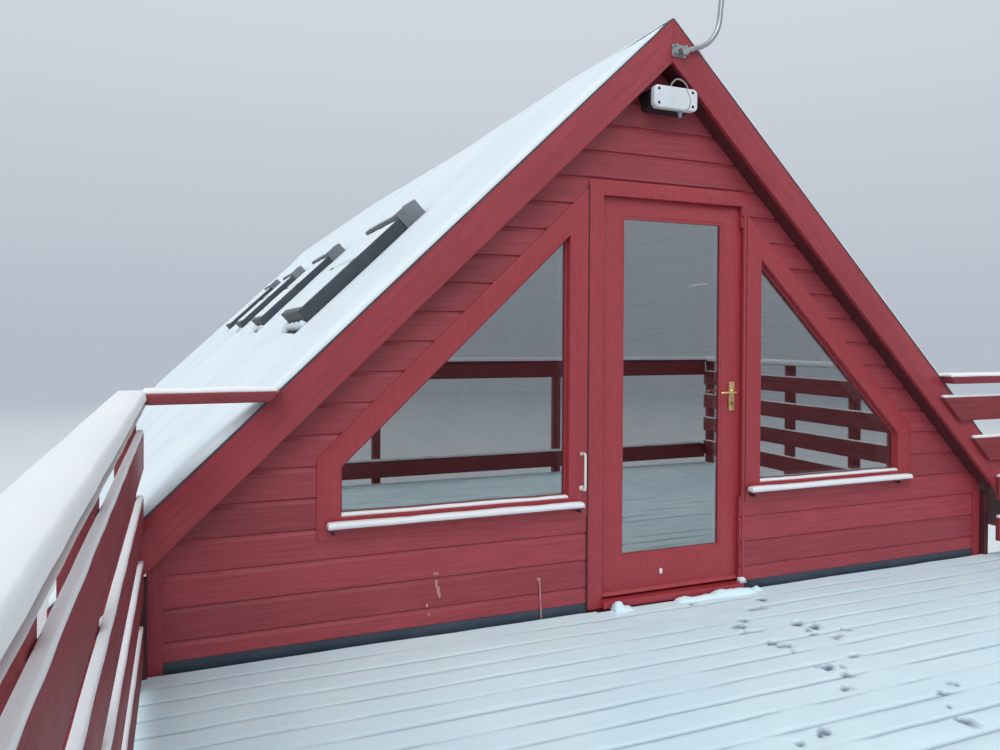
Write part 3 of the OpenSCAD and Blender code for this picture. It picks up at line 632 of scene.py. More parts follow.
def windowOutline(win, grown):
    w, h, g = win["width"], win["height"], grown
    head = g / math.cos(roofTilt)
    points = [
        (-g, -g), (w + g, -g), (w + g, h - roofSlope * w + head - roofSlope * g), (-g, h + head + roofSlope * g),
    ]
    return [(win["tall"] + win["side"] * x, win["foot"] + z) for x, z in points]


def holeSpan(win, z):
    # Where a window and its trims leave the wall bare at a height, or None
    corners = windowOutline(win, trimWidth - boardForm["hide"])
    if not corners[0][1] < z < corners[3][1]:
        return None
    slopeX = corners[3][0] + win["side"] * (corners[3][1] - z) / roofSlope
    far = min(abs(corners[1][0]), abs(slopeX))
    return sorted((corners[0][0], win["side"] * far))


def freeSpans(z, holes):
    edge = max(boardForm["narrow"], min(boardEnd, (boardTop - z) / roofSlope))
    spans, start = [], -edge
    for a, b in sorted(h for h in holes if h):
        spans.append((start, max(start, a)) if a < edge else (edge, edge))
        start = min(edge, b)
    return spans + [(start, edge)]


def wallBreaks():
    # Heights at which the spans of wall change their course
    found = [boardTop - roofSlope * x for x in (boardForm["narrow"], boardEnd)]
    return found + [z for win in windows for _, z in windowOutline(win, trimWidth - boardForm["hide"])]


def gableHoles(z):
    # The windows and the door stand side by side, so they make one hole
    hide = boardForm["hide"]
    holes = [holeSpan(win, z) for win in windows]
    if z < doorHigh.z - hide:
        holes.append((doorLow.x + hide, doorHigh.x - hide))
    joined = [h for h in holes if h]
    return [(min(h[0] for h in joined), max(h[1] for h in joined))] if joined else []


def frontPlace(a, z, out):
    return (a, wallFront - out, z)


def makeWeatherboards():
    front, rear, sides, base = (newShape() for _ in range(4))
    laps = [firstLap + lapPitch * n for n in range(-18, 20)]
    # Over the deck the front starts with a cut board
    addCourses(front, [deckTop + 0.050] + laps[19:], lambda z: freeSpans(z, gableHoles(z)),
               wallBreaks() + [doorHigh.z - boardForm["hide"]], frontPlace)
    piece("gableBoards", front, "gable", "red_boarding")
    addCourses(rear, laps, lambda z: freeSpans(z, [holeSpan(win, z) for win in windows]), wallBreaks(),
               lambda a, z, out: (a, wallRear + out, z), True)
    piece("rearBoards", rear, "gable", "red_boarding")
    # Elsewhere the lowest board is drawn, and the others repeat it
    end = boardForm["sideEnd"]
    for side in (-1, 1):
        ends = mirrored(side, wallFront + end, wallRear - end)
        addCourses(sides, laps[:2], lambda z: [ends], [], lambda a, z, out: (side * (halfWall + out), side * a, z))
    rows("sideBoards", sides, "side", 21, (0, 0, lapPitch), "red_boarding")
    addCourses(base, laps[:2], lambda z: [(end - cornerX, cornerX - end)], [], frontPlace)
    rows("baseBoards", base, "gable", 17, (0, 0, lapPitch), "red_boarding")


makeWeatherboards()
print("weatherboards laid")

cornerTrims = {"width": 0.060, "thick": 0.022, "foot": 0.004, "gap": 0.001}


def makeCornerTrims():
    shape = newShape()
    w, t, foot, gap = (cornerTrims[k] for k in ("width", "thick", "foot", "gap"))
    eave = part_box("rear_wall")[1].z - roofSlope * (halfWall + t) - foot
    for side in (-1, 1):
        x0, x1 = mirrored(side, halfWall, halfWall + t)
        addBoard(shape, (x0, wallFront + gap, foot), (x1, wallFront + gap + w, eave))
        addBoard(shape, (x0, wallRear - gap - w, foot), (x1, wallRear - gap, eave))
        x0, x1 = mirrored(side, cornerX, cornerX - w)
        addBoard(shape, (x0, wallFront - t + gap, foot), (x1, wallFront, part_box("deck_joists")[0].z - foot))
    piece("wallCornerTrims", shape, "trim", "red_trim")


makeCornerTrims()

deckPlanks = {
    "pitch": 0.125, "gap": 0.005, "edge": 0.003, "short": 0.003, "sunk": 0.0006,
    "loose": (0.003, 0.0008, 0.0006), "seed": 5,
}


def makeDeck():
    low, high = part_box("deck_boards")
    pitch, edge, short = (deckPlanks[k] for k in ("pitch", "edge", "short"))
    count, top = int((high.y - low.y) / pitch), high.z - deckPlanks["sunk"]
    plank, last = newShape(), newShape()
    start = (low.x + short, high.y - pitch + deckPlanks["gap"], low.z)
    addBoard(plank, start, (high.x - short, high.y, top), edge)
    loose, seed = deckPlanks["loose"], deckPlanks["seed"]
    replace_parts(rows("deckPlanks", plank, "deck", count, (0, -pitch, 0), "deck_timber", loose, seed), "deck_boards")
    addBoard(last, low, (high.x, high.y - count * pitch, top), edge)
    piece("deckEdgePlank", last, "deck", "deck_timber")


makeDeck()
print("deck laid")


def cloudAt(x, y, z):
    return noise.noise(Vector((x, y, z)))


# Snow lies as closed drifts over rectangles, rounded off at every edge
def gridLines(edges, step, soft):
    marks = sorted({round(e + way * soft * k, 5) for e, way in edges for k in (0, 0.07, 0.28, 0.6, 1.05)})
    first, last = min(e for e, _ in edges), max(e for e, _ in edges)
    lines = [first]
    for mark in [m for m in marks if first < m < last] + [last]:
        if mark - lines[-1] < 0.0012:
            continue
        count = max(1, math.ceil((mark - lines[-1]) / step(0.5 * (mark + lines[-1]))))
        start = lines[-1]
        lines += [start + (mark - start) * (i + 1) / count for i in range(count)]
    return lines


# How snow lies: width of its rounded edges, step of its mesh, share by which its depth varies, scale of that,
# and how far its outline strays
snowForms = {
    "bank": (0.016, 0.06, 0.4, 6, 0.004), "verge": (0.008, 0.06, 0.5, 5, 0.002),
    "window": (0.02, 0.08, 0.25, 4, 0.006), "rail": (0.012, 0.07, 0.03, 4, 0.0015),
    "return": (0.014, 0.06, 0.15, 5, 0.003), "board": (0.005, 0.05, 0.12, 6, 0.0006),
    "returnBoard": (0.006, 0.05, 0.2, 6, 0.001), "front": (0.008, 0.05, 0.2, 6, 0.001),
    "sill": (0.008, 0.05, 0.15, 5, 0.002), "ledge": (0.007, 0.05, 0.3, 5, 0.002),
    "lump": (0.03, 0.02, 0.5, 9, 0.008), "step": (0.016, 0.008, 0.4, 20, 0.003),
}


def addSnow(shape, areas, place, depth, form, holes=(), thinAt=None, extraLines=None):
    # The form is a name from snowForms, or five values of its own
    soft, step, wobble, scale, drift = snowForms.get(form, form)
    stepAt = step if callable(step) else lambda at: step
    depthAt = depth if callable(depth) else lambda u, v: depth
    lines = []
    for axis in (0, 1):
        edges = [(a[2 * axis], 1) for a in areas] + [(a[2 * axis + 1], -1) for a in areas]
        edges += [(h[2 * axis], -1) for h in holes] + [(h[2 * axis + 1], 1) for h in holes]
        if extraLines:
            edges += [(e, 0) for e in extraLines[axis]]
        lines.append(gridLines(edges, stepAt, soft))
    us, vs = lines

    def inside(u, v):
        free = any(a < u < b and c < v < d for a, b, c, d in areas)
        return free and not any(a < u < b and c < v < d for a, b, c, d in holes)

    def fromEdge(u, v):
        near = max(min(u - a, b - u, v - c, d - v) for a, b, c, d in areas)
        for a, b, c, d in holes:
            near = min(near, math.hypot(max(a - u, u - b, 0), max(c - v, v - d, 0)))
        return near

    cells = [
        (i, j) for i in range(len(us) - 1) for j in range(len(vs) - 1)
        if inside(0.5 * (us[i] + us[i + 1]), 0.5 * (vs[j] + vs[j + 1]))
    ]
    verts, thin, upper, lower = [], [], {}, {}
    for i, j in sorted({(i + a, j + b) for i, j in cells for a in (0, 1) for b in (0, 1)}):
        u, v = us[i], vs[j]
        away = fromEdge(u, v)
        bump = cloudAt(u * scale, v * scale, 1.7) + 0.5 * cloudAt(u * scale * 3, v * scale * 3, 5.1)
        side = Vector((cloudAt(u * 9, v * 9, 8.3), cloudAt(u * 9, v * 9, 2.9))) * drift
        share = math.sqrt(max(0.0, 1 - (1 - min(max(away, 0) / soft, 1)) ** 2))
        bareOrGrooveShade = thinAt(u, v) if thinAt else 0.0
        lower[i, j] = len(verts)
        verts.append(place(u + side.x, v + side.y, 0.0))
        thin.append(bareOrGrooveShade)
        if away < 1e-6:
            upper[i, j] = lower[i, j]
            continue
        upper[i, j] = len(verts)
        verts.append(place(u + side.x, v + side.y, depthAt(u, v) * share * (1 + wobble * bump) * (1 - 0.85 * bareOrGrooveShade)))
        thin.append(bareOrGrooveShade)
    faces = []
    for i, j in cells:
        ring = ((i, j), (i + 1, j), (i + 1, j + 1), (i, j + 1))
        faces += [tuple(upper[k] for k in ring), tuple(lower[k] for k in reversed(ring))]
    addPart(shape, verts, faces)
    if thinAt:
        shape["thin"] += thin


roofSnow = {
    "front": 0.040, "back": 0.056, "ridge": 0.012, "ridgeNear": 0.032, "ridgeBack": 0.090, "soft": 0.028,
    "windowGap": 0.010, "windowSoft": 0.25, "windowDrift": 0.18, "apron": 0.075, "bank": 0.046, "verge": 0.011,
    "pane": 0.019, "paneUp": 0.094, "hood": 0.012, "hoodUp": 0.127,
}
windowStarts = [roofWindows["first"] + roofWindows["pitch"] * k for k in range(roofWindows["count"])]


def rise(low, high, at):
    t = min(1.0, max(0.0, (at - low) / (high - low)))
    return t * t * (3 - 2 * t)


def onRoof(u, v, h, side=0, base=-0.012):
    # Down the slope from the ridge, along the building, and square off the bargeboards' line
    s = abs(u)
    way = side or (1 if u >= 0 else -1)
    flat = Vector((way * math.sin(roofTilt), 0, math.cos(roofTilt)))
    up = (Vector((0, 0, 1)).lerp(flat, min(1.0, s / 0.10))).normalized()
    foot = Vector((way * s * math.cos(roofTilt), v, apexZ - s * math.sin(roofTilt)))
    return foot + flat * base * min(1.0, s / 0.02) + up * h


def roofDepth(u, v):
    # Deeper towards the far end, with a drift along the ridge there
    s = abs(u)
    depth = roofSnow["front"] + (roofSnow["back"] - roofSnow["front"]) * rise(0.0, 3.0, v)
    ridge = roofSnow["ridge"] + (roofSnow["ridgeNear"] - roofSnow["ridge"]) * rise(0.0, 0.9, v)
    ridge += (roofSnow["ridgeBack"] - roofSnow["ridgeNear"]) * rise(2.5, 6.5, v)
    depth = ridge + (depth - ridge) * rise(0.0, 0.30, s)
    near = min(
        math.hypot(max(roofWindows["from"] - s, s - roofWindows["to"], 0), max(y - v, v - y - roofWindows["wide"], 0))
        for y in windowStarts
    )
    return depth * (1 + roofSnow["windowDrift"] * (1 - min(1.0, near / roofSnow["windowSoft"])))


def roofPlace(base, side=0):
    return lambda u, v, h: onRoof(u, v, h, side, base)


def makeRoofSnow():
    shape, caps = newShape(), newShape()
    eave = eaveX / math.cos(roofTilt) - 0.010
    start, end, wide, hood = (roofWindows[k] for k in ("from", "to", "wide", "hood"))
    gap = roofSnow["windowGap"]
    holes, banks = [], []
    for y, side in itertools.product(windowStarts, (-1, 1)):
        holes.append((*mirrored(side, start - gap, end + roofSnow["apron"]), y - gap, y + wide + gap))
        # A bank of snow lies at the frame's foot, with the bare apron below it
        banks.append((*mirrored(side, end + 0.003, end + 0.040), y + 0.01, y + wide - 0.01))
    whole = (-eave, eave, vergeFront + 0.018, vergeRear - 0.018)
    form = (roofSnow["soft"], lambda at: 0.10 if abs(at) < 3.7 else 0.24, 0.10, 1.8, 0.006)
    addSnow(shape, [whole], onRoof, roofDepth, form, holes, extraLines=([-0.02, 0.0, 0.02], [0.2, 0.5]))
    for bank in banks:
        addSnow(shape, [bank], roofPlace(0.004), roofSnow["bank"], "bank")
    # The right bargeboard carries a thin line of snow, the left one none
    line = (0.05, eave, vergeFront + 0.002, vergeFront + 0.022)
    addSnow(shape, [line], roofPlace(0.003), roofSnow["verge"], "verge")
    piece("roofSnow", shape, "snow", smooth=True)
    # Two drifts on each roof window and one on its hood: down the slope, along the building, height and depth
    drifts = [
        (start + hood + 0.02, start + 0.46, 0.026, "paneUp", "pane"),
        (start + 0.475, end - 0.03, 0.046, "paneUp", "pane"),
        (start + 0.012, start + hood - 0.010, 0.16, "hoodUp", "hood"),
    ]
    for side, y in itertools.product((-1, 1), windowStarts):
        for near, far, along, up, depth in drifts:
            area = (*mirrored(side, near, far), y + along, y + wide - 0.02)
            addSnow(caps, [area], roofPlace(roofSnow[up], side), roofSnow[depth], "window")
    piece("windowSnow", caps, "snow", smooth=True)


makeRoofSnow()

vergeTrim = {"wide": 0.020, "thick": 0.002, "lip": 0.005, "reach": 0.002}


def makeVergeTrim():
    # A folded strip over each front bargeboard's top edge
    shape = newShape()
    eave = eaveX / math.cos(roofTilt) - 0.004
    y0, y1 = vergeFront - vergeTrim["reach"], vergeFront + vergeTrim["wide"]
    for side in (-1, 1):
        def place(s, y, h):
            return onRoof(side * s, y, h, side, 0)

        addBoard(shape, (0.004, y0, 0), (eave, y1, vergeTrim["thick"]), 0.0008, place)
        addBoard(shape, (0.012, y0, -vergeTrim["lip"]), (eave, y0 + vergeTrim["reach"], 0.0), 0.0006, place)
    piece("vergeTrim", shape, "window", "dark_flashing")


makeVergeTrim()
print("roof snow laid")

railSnow = {
    "top": 0.010, "side": 0.038, "over": 0.012, "railWide": 0.096, "return": 0.022, "board": 0.011,
    "returnBoard": 0.015, "front": 0.032, "frontFoot": 0.198, "sill": 0.024, "ledge": 0.014, "ledgeUp": 0.021,
    "sills": ((-1.645, -0.442), (0.545, 1.699)),
}
slats = {
    "first": 0.235, "pitch": 0.245, "thick": 0.025, "tall": 0.140, "count": 4, "returnStep": 0.025, "returnLap": 0.118,
}


def flatPlace(z):
    return lambda u, v, h: Vector((u, v, z + h))


def addStrip(shape, area, z, depth, form, thinAt=None):
    addSnow(shape, [area], flatPlace(z), depth, form, thinAt=thinAt)


def returnTop(k):
    return deckTop + slats["first"] + slats["pitch"] * k + slats["returnStep"]


def returnStart(k):
    # The two upper boards start over the bargeboard, the others beside the wall
    return (apexZ - returnTop(k)) / roofSlope - slats["returnLap"] if k > 1 else cornerX


def makeReturnBoards():
    low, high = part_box("balustrade_return")
    shape = newShape()
    for k in range(slats["count"]):
        top, start = returnTop(k), returnStart(k)

        def place(x, y, z):
            # Left ends cut to the roof's slope
            near = max(0.0, 1 - (x - start) / (high.x - start)) if k > 1 else 0.0
            return (x + near * (top - z) / roofSlope, y, z)

        addBoard(shape, (start, low.y, top - slats["tall"]), (high.x, high.y, top), 0.003, place)
    piece("railReturn", shape, "railX", slotOf["balustrade_return"], node="balustrade_return")


makeReturnBoards()


def makeRailSnow():
    low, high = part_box("handrails")
    returnLow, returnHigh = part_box("balustrade_return")
    shape, side, thick = newShape(), railSnow["side"], slats["thick"]
    x0, x1, y0, y1 = low.x - 0.002, high.x + 0.002, low.y - 0.002, high.y - 0.004
    w = railSnow["railWide"] + railSnow["over"] + 0.002
    areas = [(x0, x0 + w, y0, y1), (x0, x1, y0, y0 + w), (x1 - w, x1, y0, y1)]
    addSnow(shape, areas, flatPlace(high.z - side), side + railSnow["top"], "rail")
    reach = (apexZ - high.z) / roofSlope + 0.015
    for a, b in ((x0 + w - 0.02, -reach), (reach, x1 - w + 0.02)):
        area = (a, b, vergeFront - 0.066, y1)
        addStrip(shape, area, high.z - 0.004, railSnow["return"], "return")
    for k in range(slats["count"]):
        top = returnTop(k) - 0.002
        for x in (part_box("balustrade_left")[1].x - thick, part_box("balustrade_right")[0].x):
            area = (x + 0.001, x + thick - 0.0005, low.y + 0.1, returnHigh.y)
            addStrip(shape, area, top - slats["returnStep"], railSnow["board"], "board")
        area = (returnStart(k) + 0.002, returnHigh.x - 0.002, returnLow.y + 0.001, returnHigh.y - 0.001)
        addStrip(shape, area, top, railSnow["returnBoard"], "returnBoard")
    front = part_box("balustrade_front")[1].y
    area = (low.x + 0.12, high.x - 0.12, front - thick + 0.001, front - 0.001)
    addStrip(shape, area, deckTop + railSnow["frontFoot"], railSnow["front"], "front")
    piece("railSnow", shape, "railSnow", smooth=True)


# Packers between the corner of the wall and the balustrade: sides, reach over the wall, foot and head
packers = {"near": 2.326, "far": 2.358, "out": (0.062, 0.026), "foot": deckTop + 0.004, "head": 2.800}


def makePackers():
    shape = newShape()
    for side in (-1, 1):
        x0, x1 = mirrored(side, packers["near"], packers["far"])
        y0, y1 = (wallFront - out for out in packers["out"])
        addBoard(shape, (x0, y0, packers["foot"]), (x1, y1, packers["head"]))
    # The packers are near-black red: painted shade in the slot between the wall's corner and the balustrade
    piece("cornerPackers", shape, "shadeRed", "red_trim")


def windowSpan(win, inset):
    return sorted(win["tall"] + win["side"] * x for x in (inset, win["width"] - inset))


def makeSillSnow():
    # On the sills, and on the ledges under the panes
    shape, sillTop = newShape(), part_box("window_sills")[1].z
    for x0, x1 in railSnow["sills"]:
        addStrip(shape, (x0, x1, -0.151, -0.106), sillTop - 0.017, railSnow["sill"], "sill")
    for win in windows:
        area, z = (*windowSpan(win, 0.024), -0.094, -0.064), win["foot"] + railSnow["ledgeUp"]
        addStrip(shape, area, z, railSnow["ledge"], "ledge")
    piece("sillSnow", shape, "railSnow", smooth=True)


makeRailSnow()
makePackers()
makeSillSnow()
print("rail snow laid")

# Near the door the mesh is fine; the lumps and the stepped drift against its foot have a place, half sizes and a depth
deckSnow = {
    "depth": 0.016, "soft": 0.02, "groove": 0.0075, "near": (-0.46, 0.64), "fine": 0.019,
    "lumps": [
        (-0.255, -0.148, 0.030, 0.028, 0.044), (-0.215, -0.155, 0.034, 0.030, 0.026),
        (0.20, -0.150, 0.12, 0.030, 0.026), (0.42, -0.152, 0.13, 0.032, 0.036), (0.575, -0.140, 0.030, 0.026, 0.032),
    ],
}
# Melted patches: place and half sizes
footMarks = [
    (0.139, -0.195, 0.020, 0.012), (0.509, -0.266, 0.022, 0.014), (0.391, -0.372, 0.050, 0.010),
    (0.157, -0.523, 0.022, 0.016), (0.233, -0.471, 0.016, 0.014), (0.143, -0.599, 0.055, 0.010),
    (0.156, -0.734, 0.020, 0.015), (0.187, -0.780, 0.018, 0.014), (0.195, -0.839, 0.024, 0.016),
    (0.444, -0.593, 0.024, 0.018), (0.486, -0.648, 0.022, 0.014), (0.421, -0.671, 0.018, 0.014),
    (0.422, -0.723, 0.028, 0.012), (0.484, -0.776, 0.024, 0.018), (0.570, -0.730, 0.020, 0.016),
    (0.378, -0.968, 0.018, 0.014), (0.199, -1.001, 0.036, 0.024), (0.207, -1.093, 0.018, 0.012),
    (0.113, -1.176, 0.022, 0.014), (0.422, -1.337, 0.016, 0.013), (0.353, -1.431, 0.013, 0.011),
    (0.313, -1.510, 0.017, 0.013), (-0.207, -1.395, 0.015, 0.015), (-0.238, -1.407, 0.015, 0.011),
    (0.528, -1.301, 0.013, 0.011), (-0.333, -1.428, 0.014, 0.011),
]


def makeDeckSnow():
    low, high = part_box("deck_boards")
    groove, (left, right), fine = (deckSnow[k] for k in ("groove", "near", "fine"))
    joints = [high.y - deckPlanks["pitch"] * k + deckPlanks["gap"] / 2 for k in range(1, 28)]

    def bareOrGrooveShade(u, v):
        # Melted patches, and broken lines over the boards' joints; the lines are painted shade in the snow's grooves
        rough = cloudAt(u * 26, v * 26, 0.4) + 0.6 * cloudAt(u * 70, v * 70, 7.7)
        worn = 0.0
        for x, y, a, b in footMarks:
            reach = math.hypot((u - x) / (a * 1.25), (v - y) / (b * 1.25))
            worn = max(worn, min(0.95, max(0.0, (1.15 + 1.1 * rough - reach) / 0.6)))
        broken = cloudAt(u * 3.4, v * 6.5, 3.3) * 1.5 + 0.36
        joint = min(abs(v - j) for j in joints)
        line = math.exp(-((joint / groove) ** 2)) * min(0.62, max(0.06, broken))
        return min(1.0, max(worn, line))

    lines = [j + k * groove for j in joints for k in (-2.2, -1.0, 0, 1.0, 2.2)] + [-0.15 - fine * k for k in range(73)]
    shape, (stepLow, stepHigh) = newShape(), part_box("door_threshold")
    area = (low.x + 0.004, high.x - 0.004, low.y + 0.028, high.y + 0.001)
    hole = (stepLow.x - 0.004, stepHigh.x + 0.004, stepLow.y - 0.003, high.y + 0.002)
    form = (deckSnow["soft"], lambda at: fine if left < at < right else 0.16, 0.30, 3.0, 0.0)
    addSnow(shape, [area], flatPlace(high.z), deckSnow["depth"], form, [hole], bareOrGrooveShade, ([left, right], lines))
    for x, y, a, b, depth in deckSnow["lumps"]:
        addStrip(shape, (x - a, x + a, y - b, y + b), high.z + 0.004, depth, "lump", lambda u, v: 0.0)
    piece("deckSnow", shape, "deckSnow", smooth=True)


makeDeckSnow()
print("deck snow laid")


windowReveals = {
    "thick": 0.012, "gap": 0.0005, "front": -0.024, "back": 0.080, "bead": (0.0225, 0.034), "beadAt": (-0.063, -0.0555),
}


def addRing(shape, outer, inner, y0, y1):
    # Boards round a four-cornered opening in an upright plane
    for i in range(4):
        j = (i + 1) % 4
        quad = [outer[i], outer[j], inner[j], inner[i]]
        addPrism(shape, quad, lambda a, b, y: (a, y, b), y0, y1)


def makeReveals():
    shape, beads = newShape(), newShape()
    t, gap, y0, y1 = (windowReveals[k] for k in ("thick", "gap", "front", "back"))
    middle = wallRear + wallFront
    for win in windows:
        for a, b in ((y0, y1), (middle - y1, middle - y0)):
            addRing(shape, windowOutline(win, -gap), windowOutline(win, -t), a, b)
        outer, inner = (windowOutline(win, -inset) for inset in windowReveals["bead"])
        addRing(beads, outer, inner, *windowReveals["beadAt"])
    piece("windowReveals", shape, "reveal", "floor_timber")
    piece("windowBeads", beads, "joinery", "red_joinery")


makeReveals()

# Beads round the door's pane, and the weather bar over its foot: (reach, height) round its section
doorDetail = {
    "bead": 0.013, "sunk": 0.003, "barEnds": (-0.306, 0.508), "barFoot": 2.462,
    "barForm": [(0, 0), (0.010, 0), (0.011, 0.003), (0.003, 0.016), (0, 0.018)],
}


def makeDoorDetail():
    low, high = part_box("door_glass")
    leafLow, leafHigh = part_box("door_leaf")
    beads, bar, sunk = newShape(), newShape(), doorDetail["sunk"]
    outer, inner = (
        [(low.x + b, low.z + b), (high.x - b, low.z + b), (high.x - b, high.z - b), (low.x + b, high.z - b)]
        for b in (0, doorDetail["bead"])
    )
    addRing(beads, outer, inner, leafLow.y + sunk, low.y)
    addRing(beads, outer, inner, high.y, leafHigh.y - sunk)
    piece("glazingBeads", beads, "joinery", "red_joinery", "door")
    outline = [(leafLow.y - out, doorDetail["barFoot"] + up) for out, up in doorDetail["barForm"]]
    addPrism(bar, outline, lambda y, z, x: (x, y, z), *doorDetail["barEnds"])
    piece("weatherBar", bar, "joinery", "red_joinery", "door")


makeDoorDetail()


def roundedOutline(low, high, radius, inset, steps=5):
    # Corner-rounded rectangle, counter-clockwise, in two directions
    (left, right), (foot, head) = ((a + radius, b - radius) for a, b in zip(low, high))
    points = []
    for k, (x, z) in enumerate(((right, head), (left, head), (left, foot), (right, foot))):
        for i in range(steps + 1):
            angle = math.pi / 2 * (k + i / steps)
            points.append((x + (radius - inset) * math.cos(angle), z + (radius - inset) * math.sin(angle)))
    return points


def addPlate(shape, low, high, radius, y0, y1, edge):
    # A rounded plate in an upright plane; its edges are rounded at y0
    away = 1 if y1 > y0 else -1
    verts, rings = [], ((edge, 0.0), (0.35 * edge, 0.25 * edge), (0.0, edge), (0.0, abs(y1 - y0)))
    for inset, deep in rings:
        verts += [(x, y0 + away * deep, z) for x, z in roundedOutline(low, high, radius, inset)]
    n = len(verts) // len(rings)
    faces = [tuple(range(n)), tuple(range(len(verts) - n, len(verts)))]
    for r, i in itertools.product(range(len(rings) - 1), range(n)):
        a, b = r * n + i, r * n + (i + 1) % n
        faces.append((a, b, b + n, a + n))
    addPart(shape, verts, faces, convex=True)


def curveThrough(points, count=24):
    # Smooth path through a few points
    points = [Vector(p) for p in points]
    made = []
    for k in range(count + 1):
        at = k / count * (len(points) - 1)
        i = min(int(at), len(points) - 2)
        t = at - i
        p0, p1, p2, p3 = (points[min(max(i + d, 0), len(points) - 1)] for d in (-1, 0, 1, 2))
        line = 2 * p1 + (p2 - p0) * t
        made.append(0.5 * (line + (2 * p0 - 5 * p1 + 4 * p2 - p3) * t * t + (3 * p1 - p0 - 3 * p2 + p3) * t ** 3))
    return made


# The plug in its foot narrows in steps: start, end and radius. The clip beside it: left, right, foot and head
boxDetail = {
    "lid": 0.030, "round": 0.026, "lap": 0.004, "screw": 0.0075, "cable": 0.0042, "up": 0.008, "seam": 0.0016,
    "plugX": 0.049, "plug": [(0, 0.010, 0.0135), (0.010, 0.026, 0.0105), (0.026, 0.030, 0.0075)],
    "clip": (0.255, 0.269, 4.874, 4.914),
}


def makeApexBox():
    low, high = (Vector(corner) + Vector((0, 0, boxDetail["up"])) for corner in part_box("junction_box"))
    y, split, radius, lap = low.y, low.y + boxDetail["lid"], boxDetail["round"], boxDetail["lap"]
    lid, body, dark, cable, clip = (newShape() for _ in range(5))
    addPlate(lid, (low.x, low.z), (high.x, high.z), radius, y, split, 0.008)
    addPlate(body, (low.x + lap, low.z + lap), (high.x - lap, high.z - lap), radius - lap, split, high.y, 0.001)
    seam = [(0.066, high.z - lap), (0.084, 4.905), (0.088, 4.880), (0.080, 4.850), (0.064, low.z + lap)]
    # A near-black line on the lid, drawn as painted shade
    addTube(dark, curveThrough([(x, y + 0.0004, z) for x, z in seam], 14), boxDetail["seam"], 6)
    top, foot = high.z - 0.006, low.z + 0.002
    loop = [
        (-0.012, y + 0.020, top), (-0.010, y + 0.014, 4.962), (0.012, y + 0.004, 4.983),
        (0.045, y + 0.003, 4.978), (0.074, y + 0.008, 4.958), (0.080, y + 0.018, top),
    ]
    addTube(cable, curveThrough(loop, 26), boxDetail["cable"], 10)
    for near, far, size in boxDetail["plug"]:
        addTube(cable, [(boxDetail["plugX"], y + 0.030, foot - down) for down in (near, far)], size, 14)
    piece("boxLid", lid, "plastic", "grey_plastic", node="junction_box")
    # The body behind the lid is drawn near black, a painted shade
    piece("boxBodyPaintedShade", body, "boxBodyPaintedShade", "grey_plastic")
    piece("boxSeam", dark, "hole", "grey_plastic")
    piece("boxCable", cable, "cable", "grey_plastic", smooth=True)
    spots = [(x, y - 0.0004, z) for x in (low.x + 0.026, high.x - 0.030) for z in (low.z + 0.022, high.z - 0.020)]
    # The screw heads take the near black of painted shade
    heads("boxScrews", spots, "hole", boxDetail["screw"], 0.0012, (math.pi / 2, 0, 0), 12, "grey_plastic")
    x0, x1, z0, z1 = boxDetail["clip"]
    addBoard(clip, (x0, wallFront - 0.032, z0), (x1, wallFront - 0.012, z1), 0.003)
    piece("wallClip", clip, "plastic", "grey_plastic")


handle = {
    "plate": 0.038, "tall": 0.152, "thick": 0.008, "across": 0.4665, "lever": 3.448, "key": 3.392,
    "screwInset": 0.012, "proud": 0.0006, "bar": (0.0095, 0.0067),
}


def makeHandle():
    shape, dark = newShape(), newShape()
    low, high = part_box("door_handle")
    leafLow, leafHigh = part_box("door_leaf")
    x, z, key, tall, inset = (handle[k] for k in ("across", "lever", "key", "tall", "screwInset"))
    half, (thickest, thinnest), count = handle["plate"] / 2, handle["bar"], 26
    for name, face, way, far in (("plateScrewsOut", leafLow.y, -1, low.y), ("plateScrewsIn", leafHigh.y, 1, high.y)):
        out, bar = face + way * handle["thick"], far - way * 0.008
        proud = out + way * handle["proud"]
        addPlate(shape, (x - half, low.z), (x + half, low.z + tall), 0.010, out, face, 0.002)
        addTube(shape, [(x, out - way * 0.001, z), (x, out + way * 0.010, z)], [0.0165, 0.0150], 20)
        neck = curveThrough([
            (x, out, z), (x, bar - way * 0.010, z), (x - 0.010, bar, z), (x - 0.045, bar + way * 0.001, z + 0.002),
            (x - 0.080, bar - way * 0.001, z), (x - 0.093, bar - way * 0.007, z - 0.002),
        ], count)
        addTube(shape, neck, [thickest - (thickest - thinnest) * i / count for i in range(count + 1)], 12, 0.85)
        # The keyholes are near-black discs: painted shade inside the holes
        addTube(dark, [(x, out - way * 0.002, key), (x, proud, key)], 0.0045, 12)
        y0, y1 = sorted((out, proud))
        addBoard(dark, (x - 0.0018, y0, key - 0.013), (x + 0.0018, y1, key), 0.0002)
        spots = [(x, proud, low.z + up) for up in (inset, tall - inset)]
        heads(name, spots, "brass", 0.0042, 0.0016, (-way * math.pi / 2, 0, 0), 10, "brass_furniture", "door")
    piece("leverHandle", shape, "brass", "brass_furniture", "door", True, "door_handle")
    piece("keyholes", dark, "hole", "brass_furniture", "door")


# The pull handle's feet: place over or under its ends, and size; the joints in the frame: foot, head and half width
fittings = {
    "pull": 0.0062, "footForm": ((-0.001, 1), (0.004, 1), (0.009, 0.7), (0.012, 0.25)),
    "lugs": (-1.618, -0.456, 0.575, 1.616), "leftJoint": (deckTop + 0.020, 4.462, 0.0040),
    "rightJoint": (2.870, 4.372, 0.0022), "boltInset": 0.012,
    "boltForm": ((0, 0.034, 0.0036, 8), (0.025, 0.031, 0.0078, 6)),
}


